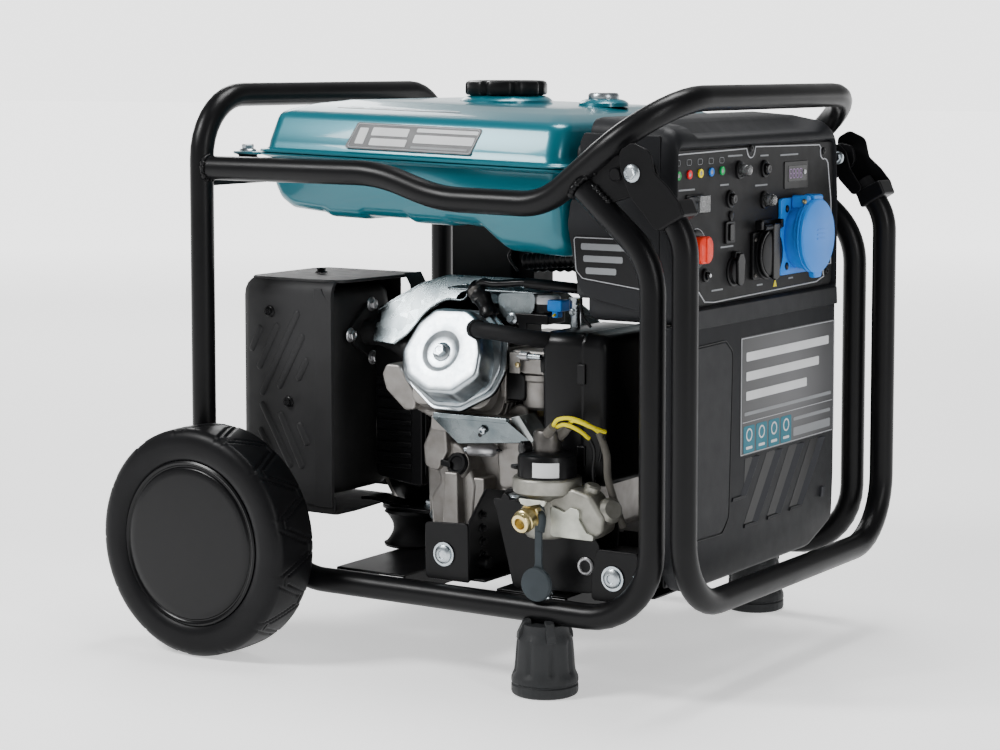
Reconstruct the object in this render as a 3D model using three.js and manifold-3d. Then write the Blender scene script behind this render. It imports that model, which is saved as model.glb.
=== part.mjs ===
// Portable inverter generator on an open tube frame with two wheels and a folding pull handle.
// Millimetres, +Z up, +X towards the control panel, ground at z = 0, middle of the frame at y = 0.
import * as THREE from 'three'
import Module from 'manifold-3d'
import { mergeVertices } from 'three/addons/utils/BufferGeometryUtils.js'

const wasm = await Module()
wasm.setup()

// Driving dimensions
const GAP = 0.3                 // air left between touching pieces
const TUBE_R = 14               // frame tube radius
const TUBE_SIDES = 12
const SIDE_Y = 249              // frame side planes, measured to tube centres
const RAIL_Z = 90               // bottom rail centre
const WHEEL_END_X = -284        // wheel-end upright centre
const PANEL_END_X = 318         // panel-end upright centre
const TOP_Z = 641               // top bars centre
const HOOP_FOOT_Z = 232         // where the wheel-end hoop is welded to the lower tube
const GRAB = { x: 327, radius: 90, slope: THREE.MathUtils.degToRad(38.5), straight: 10 }
const HANDLE = { x: 356, bottomZ: 107, shoulderZ: 500, endX: 325, endZ: 535, radius: 78 }
const PIVOT = { x: 302, z: 565, boltR: 5, earR: 13 }
const WHEEL = { x: -238, radius: 132, rimR: 96, axleR: 10, innerY: 265, width: 72 }
const FOOT_X = 187
const CRANK = { y: 36, z: 246 } // crankshaft axis, along X
const CYL_TILT = THREE.MathUtils.degToRad(25)
const CYL_X = 19                // cylinder and valve cover centre
const TANK = { x0: -232, x1: 190, halfY: 222, seamZ: 570, flange: 3, topZ: 634, fall: 0.028, levelX: -20 }
const PANEL = { faceX: 318, halfY: 200, plateX: 314, floorX: 304, splitZ: 400 }
const HOLE_SIDES = 24

// Materials
const paint = (color, roughness, metalness) => new THREE.MeshStandardMaterial({ color, roughness, metalness })
const MAT = {
  blackSteel: paint(0x17181a, 0.42, 0.25),
  teal: paint(0x0b5563, 0.22, 0.15),
  zinc: paint(0xb9c2c9, 0.3, 0.95),
  castAluminium: paint(0x9a938a, 0.5, 0.85),
  galvanised: paint(0xa9b4b8, 0.35, 0.9),
  charcoal: paint(0x26282b, 0.62, 0.0),
  blackPlastic: paint(0x121315, 0.38, 0.0),
  rubber: paint(0x151617, 0.75, 0.0),
  heatPaint: paint(0x1d1f22, 0.6, 0.3),
  blue: paint(0x1d6fd0, 0.35, 0.0),
  red: paint(0xe03a26, 0.35, 0.0),
  copper: paint(0x8a4a2a, 0.4, 0.8),
}

const generator = new THREE.Group()

function add(name, geometry, material) {
  const mesh = new THREE.Mesh(geometry, material)
  mesh.name = name
  generator.add(mesh)
  return mesh
}

// Solids and booleans
function solid(geometry) {
  const bare = geometry.clone()
  bare.deleteAttribute('normal')
  bare.deleteAttribute('uv')
  const merged = mergeVertices(bare, 1e-4)
  return new wasm.Manifold(new wasm.Mesh({
    numProp: 3,
    vertProperties: new Float32Array(merged.attributes.position.array),
    triVerts: new Uint32Array(merged.index.array),
  }))
}

function geometryOf(manifold) {
  const mesh = manifold.getMesh()
  const geometry = new THREE.BufferGeometry()
  geometry.setAttribute('position', new THREE.BufferAttribute(mesh.vertProperties, 3))
  geometry.setIndex(new THREE.BufferAttribute(mesh.triVerts, 1))
  const flat = geometry.toNonIndexed()
  flat.computeVertexNormals()
  return flat
}

const union = (...parts) => geometryOf(wasm.Manifold.union(parts.map(solid)))
const cut = (base, ...tools) => geometryOf(wasm.Manifold.difference([base, ...tools].map(solid)))
const common = (a, b) => geometryOf(wasm.Manifold.intersection([a, b].map(solid)))

// Basic shapes, all returned in place
function box(x0, x1, y0, y1, z0, z1) {
  const geometry = new THREE.BoxGeometry(x1 - x0, y1 - y0, z1 - z0)
  return geometry.translate((x0 + x1) / 2, (y0 + y1) / 2, (z0 + z1) / 2)
}

function cylinderX(x0, x1, y, z, r, sides = HOLE_SIDES) {
  const geometry = new THREE.CylinderGeometry(r, r, x1 - x0, sides)
  return geometry.rotateZ(-Math.PI / 2).translate((x0 + x1) / 2, y, z)
}

function cylinderY(y0, y1, x, z, r, sides = HOLE_SIDES) {
  return new THREE.CylinderGeometry(r, r, y1 - y0, sides).translate(x, (y0 + y1) / 2, z)
}

function cylinderZ(z0, z1, x, y, r, sides = HOLE_SIDES) {
  const geometry = new THREE.CylinderGeometry(r, r, z1 - z0, sides)
  return geometry.rotateX(Math.PI / 2).translate(x, y, (z0 + z1) / 2)
}

const outline = (points) => new THREE.Shape(points.map(([u, v]) => new THREE.Vector2(u, v)))

// Plate whose outline lies in the XZ plane, from y0 to y1
function plateXZ(shape, y0, y1) {
  const geometry = new THREE.ExtrudeGeometry(shape, { depth: y1 - y0, bevelEnabled: false, curveSegments: 8 })
  return geometry.rotateX(Math.PI / 2).translate(0, y1, 0)
}

// Plate whose outline lies in the YZ plane, from x0 to x1
function plateYZ(shape, x0, x1) {
  const geometry = new THREE.ExtrudeGeometry(shape, { depth: x1 - x0, bevelEnabled: false, curveSegments: 8 })
  return geometry.rotateZ(Math.PI / 2).rotateY(Math.PI / 2).translate(x0, 0, 0)
}

// Plate whose outline lies in the XY plane, from z0 to z1
function plateXY(shape, z0, z1) {
  const geometry = new THREE.ExtrudeGeometry(shape, { depth: z1 - z0, bevelEnabled: false, curveSegments: 6 })
  return geometry.translate(0, 0, z0)
}

function roundedRectangle(x0, x1, y0, y1, r) {
  const shape = new THREE.Shape()
  shape.absarc(x1 - r, y1 - r, r, 0, Math.PI / 2)
  shape.absarc(x0 + r, y1 - r, r, Math.PI / 2, Math.PI)
  shape.absarc(x0 + r, y0 + r, r, Math.PI, 1.5 * Math.PI)
  shape.absarc(x1 - r, y0 + r, r, 1.5 * Math.PI, 2 * Math.PI)
  return shape
}

// Lathe about the Y axis: profile of [radius, y], closed on the axis or on itself
function latheY(profile, x, z, sides) {
  const points = profile.map(([r, y]) => new THREE.Vector2(r, y))
  return new THREE.LatheGeometry(points, sides).translate(x, 0, z)
}

function latheZ(profile, x, y, sides) {
  const points = profile.map(([r, z]) => new THREE.Vector2(r, z))
  return new THREE.LatheGeometry(points, sides).rotateX(Math.PI / 2).translate(x, y, 0)
}

function latheX(profile, y, z, sides) {
  const points = profile.map(([r, x]) => new THREE.Vector2(r, x))
  return new THREE.LatheGeometry(points, sides).rotateZ(-Math.PI / 2).translate(0, y, z)
}

// Bent tube: straight runs between corners, each corner rounded to its bend radius
class BentPath extends THREE.Curve {
  constructor(corners, radii, stepsPerBend = 4) {
    super()
    this.points = [corners[0]]
    for (let i = 1; i < corners.length - 1; i++) {
      this.addBend(corners[i - 1], corners[i], corners[i + 1], radii[i - 1], stepsPerBend)
    }
    this.points.push(corners[corners.length - 1])
  }

  addBend(before, corner, after, radius, steps) {
    const back = before.clone().sub(corner).normalize()
    const ahead = after.clone().sub(corner).normalize()
    const half = back.angleTo(ahead) / 2
    const start = corner.clone().addScaledVector(back, radius / Math.tan(half))
    const middle = back.clone().add(ahead).normalize()
    const centre = corner.clone().addScaledVector(middle, radius / Math.sin(half))
    const axis = ahead.clone().cross(back).normalize()
    const sweep = Math.PI - 2 * half
    for (let i = 0; i <= steps; i++) {
      const spoke = start.clone().sub(centre).applyAxisAngle(axis, sweep * i / steps)
      this.points.push(centre.clone().add(spoke))
    }
  }

  getPoint(t) {
    return this.points[Math.round(t * (this.points.length - 1))].clone()
  }

  getTangent(t) {
    const i = Math.round(t * (this.points.length - 1))
    const before = this.points[Math.max(i - 1, 0)]
    const after = this.points[Math.min(i + 1, this.points.length - 1)]
    const here = this.points[i]
    const tangent = new THREE.Vector3()
    if (i > 0) tangent.add(here.clone().sub(before).normalize())
    if (i < this.points.length - 1) tangent.add(after.clone().sub(here).normalize())
    return tangent.normalize()
  }

  getPointAt(u) { return this.getPoint(u) }
  getTangentAt(u) { return this.getTangent(u) }
}

function tube(corners, radii, radius = TUBE_R, sides = TUBE_SIDES) {
  const path = new BentPath(corners.map((c) => new THREE.Vector3(...c)), radii)
  const ring = []
  for (let i = 0; i < sides; i++) {
    const angle = 2 * Math.PI * i / sides
    ring.push([radius * Math.cos(angle), radius * Math.sin(angle)])
  }
  return new THREE.ExtrudeGeometry(outline(ring), { steps: path.points.length - 1, extrudePath: path })
}

const grabPoint = (back, y) => [
  GRAB.x - back * Math.cos(GRAB.slope), y, TOP_Z - back * Math.sin(GRAB.slope),
]

const eachSide = (build) => [['front', -1], ['back', 1]].forEach(([label, side]) => build(label, side))

// Frame
function lowerTube(side) {
  const y = side * SIDE_Y
  const corners = [
    [WHEEL_END_X, y, HOOP_FOOT_Z - GAP], [WHEEL_END_X, y, 215], [-140, y, RAIL_Z],
    [PANEL_END_X, y, RAIL_Z], [PANEL_END_X, y, 473], [235, y, 546.5],
  ]
  return tube(corners, [22, 80, 78, 80])
}

function wheelEndHoop() {
  const y = SIDE_Y
  const corners = [
    [WHEEL_END_X, -y, HOOP_FOOT_Z], [WHEEL_END_X, -y, TOP_Z],
    [WHEEL_END_X, y, TOP_Z], [WHEEL_END_X, y, HOOP_FOOT_Z],
  ]
  return tube(corners, [75, 75])
}

function topRail(side) {
  const y = side * SIDE_Y
  const start = WHEEL_END_X + TUBE_R + GAP
  const end = grabPoint(GRAB.radius + GRAB.straight + GAP, y)
  return tube([[start, y, 557], [-30, y, 556], [50, y, 530.5], [185, y, 528], end], [200, 200, 80])
}

function grabBar() {
  const reach = GRAB.radius + GRAB.straight
  const corners = [
    grabPoint(reach, -SIDE_Y), [GRAB.x, -SIDE_Y, TOP_Z],
    [GRAB.x, SIDE_Y, TOP_Z], grabPoint(reach, SIDE_Y),
  ]
  return tube(corners, [GRAB.radius, GRAB.radius])
}

function pivotEar(side) {
  const y = side * SIDE_Y
  const gusset = plateXZ(outline([[262, 570], [247, 558.5], [271, 538], [293, 555], [297, 577]]), y - 3, y + 3)
  const ear = cylinderY(y - 3, y + 3, PIVOT.x, PIVOT.z, PIVOT.earR)
  const hole = cylinderY(y - 4, y + 4, PIVOT.x, PIVOT.z, PIVOT.boltR + GAP)
  return cut(union(gusset, ear), hole)
}

function pivotBolt(side) {
  const y = (depth) => side * (SIDE_Y + depth)
  const shank = [[0, y(-20)], [PIVOT.boltR, y(-20)], [PIVOT.boltR, y(17)]]
  const head = [[11, y(17)], [11, y(19.5)], [8.5, y(19.5)], [8.5, y(26)], [0, y(26)]]
  const profile = [...shank, ...head]
  return latheY(side < 0 ? profile.reverse() : profile, PIVOT.x, PIVOT.z, 18)
}

function axle(side) {
  const y = side * SIDE_Y
  const points = [[-255.8, 171.2], [-258, 131], [-238, 115], [-216, 115], [-195.4, 118.8]]
  const gusset = plateXZ(outline(points), y - 3, y + 3)
  const inner = side * (SIDE_Y - 14)
  const outer = side * (WHEEL.innerY + WHEEL.width - 12)
  const stub = cylinderY(Math.min(inner, outer), Math.max(inner, outer), WHEEL.x, WHEEL.radius, WHEEL.axleR)
  return union(gusset, stub)
}

function crossChannel(x0, x1) {
  const halfY = SIDE_Y - TUBE_R - GAP
  return box(x0, x1, -halfY, halfY, 99, 104)
}

function tankSupport() {
  const halfY = SIDE_Y - TUBE_R - GAP
  const section = outline([[-288, 535], [-285, 535], [-285, 562], [-258, 562], [-258, 565], [-288, 565]])
  return plateXZ(section, -halfY, halfY)
}

function foot(side) {
  const profile = [[0, 0], [35, 0], [36.5, 3], [36.5, 22], [33, 30], [30.5, 60], [24, 75.7], [0, 75.7]]
  return latheZ(profile, FOOT_X, side * SIDE_Y, 24)
}

function addFrame() {
  add('wheel_end_hoop', wheelEndHoop(), MAT.blackSteel)
  add('grab_bar', grabBar(), MAT.blackSteel)
  add('cross_channel_wheel', crossChannel(-102, -6), MAT.blackSteel)
  add('cross_channel_panel', crossChannel(116, 207), MAT.blackSteel)
  add('tank_support_bar', tankSupport(), MAT.blackSteel)
  eachSide((label, side) => {
    add(`lower_tube_${label}`, lowerTube(side), MAT.blackSteel)
    add(`top_rail_${label}`, topRail(side), MAT.blackSteel)
    add(`pivot_ear_${label}`, pivotEar(side), MAT.blackSteel)
    add(`pivot_bolt_${label}`, pivotBolt(side), MAT.zinc)
    add(`axle_${label}`, axle(side), MAT.blackSteel)
    add(`foot_${label}`, foot(side), MAT.rubber)
  })
}

// Wheels
function tyre(side) {
  const { innerY, width, radius, rimR } = WHEEL
  const y = (depth) => side * (innerY + depth)
  const profile = [
    [rimR, y(4)], [112, y(0)], [126, y(2)], [radius, y(12)], [radius, y(width - 12)],
    [126, y(width - 2)], [112, y(width)], [rimR, y(width - 4)], [rimR, y(4)],
  ]
  return latheY(side < 0 ? profile.reverse() : profile, WHEEL.x, radius, 48)
}

function hub(side) {
  const y = (depth) => side * (WHEEL.innerY + depth)
  const face = WHEEL.width
  const rim = WHEEL.rimR - GAP
  const bore = WHEEL.axleR + GAP
  const profile = [
    [0, y(face - 10)], [bore, y(face - 10)], [bore, y(3)], [26, y(3)], [26, y(face - 42)],
    [rim - 6, y(face - 42)], [rim - 3, y(5)], [rim, y(5)], [rim, y(face - 6)], [rim - 8, y(face - 3)],
    [0, y(face - 2)],
  ]
  return latheY(side < 0 ? profile.reverse() : profile, WHEEL.x, WHEEL.radius, 48)
}

function addWheels() {
  eachSide((label, side) => {
    add(`tyre_${label}`, tyre(side), MAT.rubber)
    add(`hub_${label}`, hub(side), MAT.blackPlastic)
  })
}

// Folding handle: one bent tube with a forked plate welded round each upper end
function handleFork(side) {
  const arm = outline([[291, 574], [292, 556], [325, 513], [349, 527], [348, 534], [311, 576], [302, 580]])
  const cheek = (depth) => plateXZ(arm, side * SIDE_Y + depth - 2, side * SIDE_Y + depth + 2)
  const hole = cylinderY(side * SIDE_Y - 20, side * SIDE_Y + 20, PIVOT.x, PIVOT.z, PIVOT.boltR + GAP)
  return [cut(cheek(-14), hole), cut(cheek(14), hole)]
}

function foldingHandle() {
  const { x, bottomZ, shoulderZ, endX, endZ, radius } = HANDLE
  const y = SIDE_Y
  const corners = [
    [endX, -y, endZ], [x, -y, shoulderZ], [x, -y, bottomZ],
    [x, y, bottomZ], [x, y, shoulderZ], [endX, y, endZ],
  ]
  return union(tube(corners, [60, radius, radius, 60]), ...handleFork(-1), ...handleFork(1))
}

// Fuel tank, whose two shells fall slightly towards the panel end
const tankFall = new THREE.Matrix4().set(
  1, 0, 0, 0,
  0, 1, 0, 0,
  -TANK.fall, 0, 1, TANK.fall * TANK.levelX,
  0, 0, 0, 1,
)

function tankShell(sideProfile, endProfile) {
  const length = plateXZ(outline(sideProfile), -TANK.halfY, TANK.halfY)
  const width = plateYZ(outline(endProfile), TANK.x0, TANK.x1)
  return common(length, width)
}

function tankFlange(z0, z1) {
  return plateXY(roundedRectangle(TANK.x0, TANK.x1, -TANK.halfY, TANK.halfY, 26), z0, z1)
}

function tankUpper() {
  const { x0, x1, seamZ, flange, topZ } = TANK
  const z = seamZ + flange
  const side = [[x0 + 6, z - 1], [x1 - 6, z - 1], [x1 - 9, 608], [x1 - 24, 626], [x1 - 58, topZ],
    [x0 + 70, topZ], [x0 + 34, 628], [x0 + 8, 609]]
  const end = [[-213, z - 1], [213, z - 1], [200, 611], [190, 626], [150, topZ],
    [-150, topZ], [-190, 626], [-200, 611]]
  const shell = union(tankFlange(seamZ + GAP / 2, z), tankShell(side, end)).applyMatrix4(tankFall)
  return union(shell, cylinderZ(topZ - 10, 640, -22, 0, 42))
}

function tankLower() {
  const { x0, x1, seamZ, flange } = TANK
  const z = seamZ - flange
  const side = [[x0 + 8, z + 1], [x0 + 22, 514], [x0 + 36, 502], [74, 497], [104, 472], [x1 - 16, 472],
    [x1 - 8, 484], [x1 - 8, z + 1]]
  const end = [[-212, z + 1], [-206, 520], [-196, 484], [-180, 470], [180, 470], [196, 484],
    [206, 520], [212, z + 1]]
  const shell = tankShell(side.reverse(), end.reverse())
  return union(tankFlange(z, seamZ - GAP / 2), shell).applyMatrix4(tankFall)
}

function lobedCap(x, y, z0, z1) {
  const lobes = 8
  const points = []
  for (let i = 0; i < lobes * 4; i++) {
    const angle = 2 * Math.PI * i / (lobes * 4)
    const r = 46 + 3 * Math.cos(lobes * angle)
    points.push([x + r * Math.cos(angle), y + r * Math.sin(angle)])
  }
  return plateXY(outline(points), z0, z1)
}

function addTank() {
  add('tank_upper', tankUpper(), MAT.teal)
  add('tank_lower', tankLower(), MAT.teal)
  add('fuel_cap', lobedCap(-22, 0, 640 + GAP, 658), MAT.blackPlastic)
  add('fuel_gauge', cylinderZ(TANK.topZ + GAP, 644, 112, 0, 17).applyMatrix4(tankFall), MAT.zinc)
}

// Panel housing
const BUTTONS = {
  dc_breaker_button: { y: -49, z: 561, r: 7 },
  ac_breaker_button: { y: 12, z: 525, r: 7 },
  ac_reset_button: { y: 12, z: 560, r: 7 },
  lpg_reset_button: { y: -71, z: 530, r: 7 },
  start_button: { y: -128, z: 450, r: 5 },
}
const ROCKER = { y: -151, z: 528, halfY: 19, halfZ: 8, tilt: THREE.MathUtils.degToRad(8) }
const KNOB = { y: -148, z: 479 }
const SCHUKO = { y: 10, z: 466, hingeZ: 499, rimX: 322 }
const CEE = { y: 91, z: 481, hingeZ: 526, rimX: 336 }

function fascia() {
  const { faceX, halfY, splitZ, floorX } = PANEL
  const section = [[298, splitZ], [faceX, splitZ], [faceX, 592], [faceX - 3, 597], [284, 600], [272, 618],
    [205, 620], [205, 600], [298, 590]]
  const shoulder = [[272, 598], [faceX - 4, 596], [faceX - 10, 606], [292, 612], [272, 618]]
  const body = plateXZ(outline(section), -halfY, halfY)
  const ends = [[-halfY, -160.5], [160.5, halfY]].map(([y0, y1]) => plateXZ(outline(shoulder), y0, y1))
  return cut(union(body, ...ends), box(floorX, faceX + 5, -196, 194, 416, 588))
}

function housingSide(side) {
  const y0 = side < 0 ? -PANEL.halfY : PANEL.halfY - 5
  const points = [[297.7, 588], [205, 599], [189, 545], [186, 430], [202, 405], [240, 396], [240, 135],
    [262, 116], [297.7, 116]]
  return plateXZ(outline(points), y0, y0 + 5)
}

function lowerCover() {
  const { faceX, halfY, splitZ } = PANEL
  const section = [[298, 116], [306, 109], [faceX - 6, 118], [faceX, 134], [faceX, splitZ - GAP],
    [298, splitZ - GAP]]
  return plateXZ(outline(section), -halfY, halfY)
}

function controlPlate() {
  const { plateX } = PANEL
  const plate = plateYZ(roundedRectangle(-195, 193, 417, 587, 8), plateX - 4, plateX)
  const holes = Object.values(BUTTONS).map(({ y, z, r }) => cylinderX(plateX - 6, plateX + 2, y, z, r + 0.5))
  const slot = box(plateX - 6, plateX + 2, ROCKER.y - 21, ROCKER.y + 21, ROCKER.z - 8.8, ROCKER.z + 8.8)
  return cut(plate, slot, ...holes)
}

function rocker() {
  const { y, z, halfY, halfZ, tilt } = ROCKER
  const body = box(-3, 4, -halfY, halfY, -halfZ, halfZ)
  return body.rotateZ(tilt).translate(PANEL.plateX - 2, y, z)
}

function knob() {
  const base = cylinderX(PANEL.plateX + GAP, 324, KNOB.y, KNOB.z, 16)
  const grip = box(323, 330, KNOB.y - 14, KNOB.y + 14, KNOB.z - 5, KNOB.z + 5)
  return union(base, grip)
}

function schukoLid() {
  const { y, z, hingeZ, rimX } = SCHUKO
  const plate = plateYZ(roundedRectangle(y - 28, y + 28, z - 30, hingeZ - 5, 12), rimX + GAP, rimX + 6)
  const barrel = cylinderY(y - 14, y + 14, rimX + 3.5, hingeZ - 4, 3, 12)
  return union(plate, barrel)
}

function schukoBase() {
  const { y, z, rimX } = SCHUKO
  const body = plateYZ(roundedRectangle(y - 32, y + 32, z - 29, z + 37, 4), PANEL.plateX + GAP, rimX)
  return cut(body, cylinderX(rimX - 6, rimX + 9, y, z, 22))
}

function ceeBase() {
  const { y, z, rimX } = CEE
  const flange = plateYZ(roundedRectangle(y - 44, y + 44, z - 44, z + 44, 5), PANEL.plateX + GAP, 319)
  return cut(union(flange, cylinderX(318, rimX, y, z, 38)), cylinderX(319, rimX + 9, y, z, 30))
}

function ceeLid() {
  const { y, z, hingeZ, rimX } = CEE
  const disc = cylinderX(rimX + GAP, rimX + 10, y, z, 42.5)
  const lug = box(rimX + GAP, rimX + 8, y - 12, y + 12, z + 38, hingeZ)
  return union(disc, lug)
}

function addPanel() {
  add('panel_fascia', fascia(), MAT.charcoal)
  add('control_plate', controlPlate(), MAT.blackPlastic)
  add('lower_cover', lowerCover(), MAT.charcoal)
  eachSide((label, side) => add(`housing_side_${label}`, housingSide(side), MAT.charcoal))
  add('inverter_module', box(222, 297, -58, 185, 170, 392), MAT.castAluminium)
  for (const [name, { y, z, r }] of Object.entries(BUTTONS)) {
    add(name, cylinderX(PANEL.floorX + 4, 321, y, z, r, 16), MAT.blackPlastic)
  }
  add('economy_rocker', rocker(), MAT.blackPlastic)
  add('engine_switch_knob', knob(), MAT.red)
  add('schuko_base', schukoBase(), MAT.blackPlastic)
  add('schuko_lid', schukoLid(), MAT.blackPlastic)
  add('cee_base', ceeBase(), MAT.blue)
  add('cee_lid', ceeLid(), MAT.blue)
}

// Engine: built round the crankshaft, the cylinder leaning towards -Y
// A shape made upright on the crank axis, u along X and w outwards, is laid over onto the cylinder axis
function onCylinder(geometry) {
  return geometry.rotateX(Math.PI / 2 - CYL_TILT).translate(CYL_X, CRANK.y, CRANK.z)
}

function crankcase() {
  const section = [[-92, 122], [140, 122], [158, 180], [158, 300], [110, 345], [10, 345], [-72, 318],
    [-92, 240]]
  const body = plateYZ(outline(section), -75, 125)
  return body
}

function cylinder() {
  const barrel = box(-48, 48, -52, 52, 90, 150)
  const head = box(-66, 66, -60, 60, 149, 226)
  return cut(onCylinder(union(barrel, head)), onGrown(crankcase()))
}

// A copy of a solid swept by the touching gap, used to trim its neighbour
function onGrown(geometry) {
  const shifts = [[0, -GAP, 0], [0, 0, GAP]]
  return union(geometry, ...shifts.map((shift) => geometry.clone().translate(...shift)))
}

function valveCover() {
  const shape = outline([[-66, -30], [-34, -61], [34, -61], [66, -30], [66, 30], [34, 61], [-34, 61], [-66, 30]])
  const base = plateXY(shape, 226 + GAP, 236)
  const dome = new THREE.CylinderGeometry(50, 60, 26, 8).rotateX(Math.PI / 2).rotateZ(Math.PI / 8)
  return onCylinder(union(base, dome.translate(0, 0, 248)))
}

function cylinderShroud() {
  return onCylinder(box(-92, 60, 61, 66, 96, 222))
}

function lowerShroud() {
  return onCylinder(box(-40, 62, -66, -61, 150, 222))
}

function alternatorCover() {
  const profile = [[0, -142], [128, -142], [134, -134], [134, -76], [128, -76], [128, -134], [0, -136]]
  return latheX(profile, CRANK.y, CRANK.z, 32)
}

function rotor() {
  return latheX([[0, -134], [30, -134], [118, -128], [118, -84], [0, -84]], CRANK.y, CRANK.z, 32)
}

function mufflerShield() {
  const outer = box(-279, -144, -187, -31, 150, 428)
  const inner = box(-276, -100, -184, 0, 160, 425)
  return cut(outer, inner)
}

function muffler() {
  return plateXY(roundedRectangle(-272, -152, -180, -38, 40), 168, 418)
}

function exhaustPipe() {
  return tube([[-151, -90, 360], [-100, -90, 360], [-66, -112, 335]], [25], 15, 10)
}

function addEngine() {
  add('crankcase', crankcase(), MAT.castAluminium)
  add('cylinder_head', cylinder(), MAT.castAluminium)
  add('valve_cover', valveCover(), MAT.galvanised)
  add('cylinder_shroud', cylinderShroud(), MAT.galvanised)
  add('lower_shroud', lowerShroud(), MAT.galvanised)
  add('oil_filler_cap', cylinderY(-106, -92 - GAP, 52, 158, 11, 16), MAT.blackPlastic)
  add('air_box', box(141, 221, -182, -45, 214, 384), MAT.blackPlastic)
  add('alternator_cover', alternatorCover(), MAT.blackSteel)
  add('rotor', rotor(), MAT.copper)
  add('muffler', muffler(), MAT.heatPaint)
  add('muffler_shield', mufflerShield(), MAT.heatPaint)
  for (const [label, x] of [['wheel', -40], ['panel', 120.5]]) {
    add(`engine_mount_${label}`, box(x - 4, x + 4, -80, 130, 104 + GAP, 122 - GAP), MAT.rubber)
  }
}

// Gas supply on its own plate in front of the air box
function gasRegulator() {
  const x = 173
  const y = -222
  const profile = [[0, 163], [26, 163], [28, 196], [20, 206], [33.5, 212], [33.5, 236], [29, 238], [29, 258],
    [14, 262], [14, 282], [0, 282]]
  const inlet = cylinderY(-264, y, x - 6, 188, 11, 12)
  return union(latheZ(profile, x, y, 24), inlet)
}

function addSupply() {
  add('regulator_plate', box(113, 232, -190, -186, 104 + GAP, 206), MAT.blackSteel)
  add('gas_regulator', gasRegulator(), MAT.castAluminium)
  add('engine_bracket_left', box(20, 77, -234, -228, 104 + GAP, 170), MAT.blackSteel)
  add('engine_bracket_right', box(236, 293, -234, -228, 104 + GAP, 160), MAT.blackSteel)
}

addFrame()
addWheels()
add('folding_handle', foldingHandle(), MAT.blackSteel)
addTank()
addPanel()
addEngine()
addSupply()

export default generator
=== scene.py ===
"""Portable inverter generator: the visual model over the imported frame.

The scene is in metres; lengths in the code are in millimetres unless a comment says otherwise."""

import math
import random

import bmesh
import bpy
from mathutils import Matrix, Vector


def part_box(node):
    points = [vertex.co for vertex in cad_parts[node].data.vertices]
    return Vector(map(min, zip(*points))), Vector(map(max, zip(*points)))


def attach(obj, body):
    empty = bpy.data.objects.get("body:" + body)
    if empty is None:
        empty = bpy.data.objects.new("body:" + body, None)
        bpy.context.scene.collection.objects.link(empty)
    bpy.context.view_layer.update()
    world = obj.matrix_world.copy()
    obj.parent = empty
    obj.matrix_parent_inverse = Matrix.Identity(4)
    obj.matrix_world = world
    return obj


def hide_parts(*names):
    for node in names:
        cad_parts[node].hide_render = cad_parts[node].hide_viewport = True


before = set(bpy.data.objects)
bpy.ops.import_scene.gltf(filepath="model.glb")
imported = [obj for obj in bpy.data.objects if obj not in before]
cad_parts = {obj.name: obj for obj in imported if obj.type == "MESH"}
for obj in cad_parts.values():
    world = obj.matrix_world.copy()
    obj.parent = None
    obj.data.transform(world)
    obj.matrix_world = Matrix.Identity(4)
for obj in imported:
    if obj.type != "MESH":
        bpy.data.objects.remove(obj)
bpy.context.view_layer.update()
random.seed(7)

MM = 0.001
TUBE_R = 14.0
SIDE_Y = 249.0
TOP_Z = 641.0
BACKDROP = 2.8
SIDES = (("front", -1), ("back", 1))


# ---------------------------------------------------------------- camera, light, floor
def make_camera():
    data = bpy.data.cameras.new("camera")
    data.sensor_width = 36
    data.lens = 88.58
    data.shift_y = -0.1
    camera = bpy.data.objects.new("camera", data)
    camera.location = (1.5604, -2.4713, 0.679)
    camera.rotation_euler = (math.radians(90 - 4.94), 0, math.radians(32.78))
    bpy.context.scene.collection.objects.link(camera)
    bpy.context.scene.camera = camera


def area_light(name, location, target, width, height, watts):
    data = bpy.data.lights.new(name, "AREA")
    data.shape = "RECTANGLE"
    data.size = width
    data.size_y = height
    data.energy = watts
    lamp = bpy.data.objects.new(name, data)
    lamp.location = location
    lamp.rotation_mode = "QUATERNION"
    lamp.rotation_quaternion = (Vector(target) - Vector(location)).to_track_quat("-Z", "Y")
    bpy.context.scene.collection.objects.link(lamp)


def studio_world():
    """Dim surroundings overhead and a bright band near the horizon, brightest towards the backdrop."""
    world = bpy.data.worlds.new("studio")
    world.use_nodes = True
    nodes, links = world.node_tree.nodes, world.node_tree.links
    ramp = nodes.new("ShaderNodeValToRGB")
    stops = ramp.color_ramp.elements
    stops[0].position = 0.0
    stops[0].color = (0.5, 0.5, 0.5, 1)
    stops[1].position = 1.0
    stops[1].color = (0.10, 0.10, 0.105, 1)
    for position, grey in ((0.44, 1.0), (0.52, 1.0), (0.575, 0.32), (0.80, 0.15)):
        stop = stops.new(position)
        stop.color = (grey, grey, grey, 1)
    height = nodes.new("ShaderNodeSeparateXYZ")
    place = nodes.new("ShaderNodeTexCoord")
    half = nodes.new("ShaderNodeMath")
    half.operation = "MULTIPLY_ADD"
    half.inputs[1].default_value = 0.5
    half.inputs[2].default_value = 0.5
    links.new(place.outputs["Generated"], height.inputs["Vector"])
    links.new(height.outputs["Z"], half.inputs[0])
    links.new(half.outputs["Value"], ramp.inputs["Fac"])
    links.new(ramp.outputs["Color"], nodes["Background"].inputs["Color"])
    towards_backdrop(world.node_tree, place.outputs["Generated"], (0.55, 0.93), (1.0, BACKDROP),
                     nodes["Background"].inputs["Strength"])
    bpy.context.scene.world = world


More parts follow.
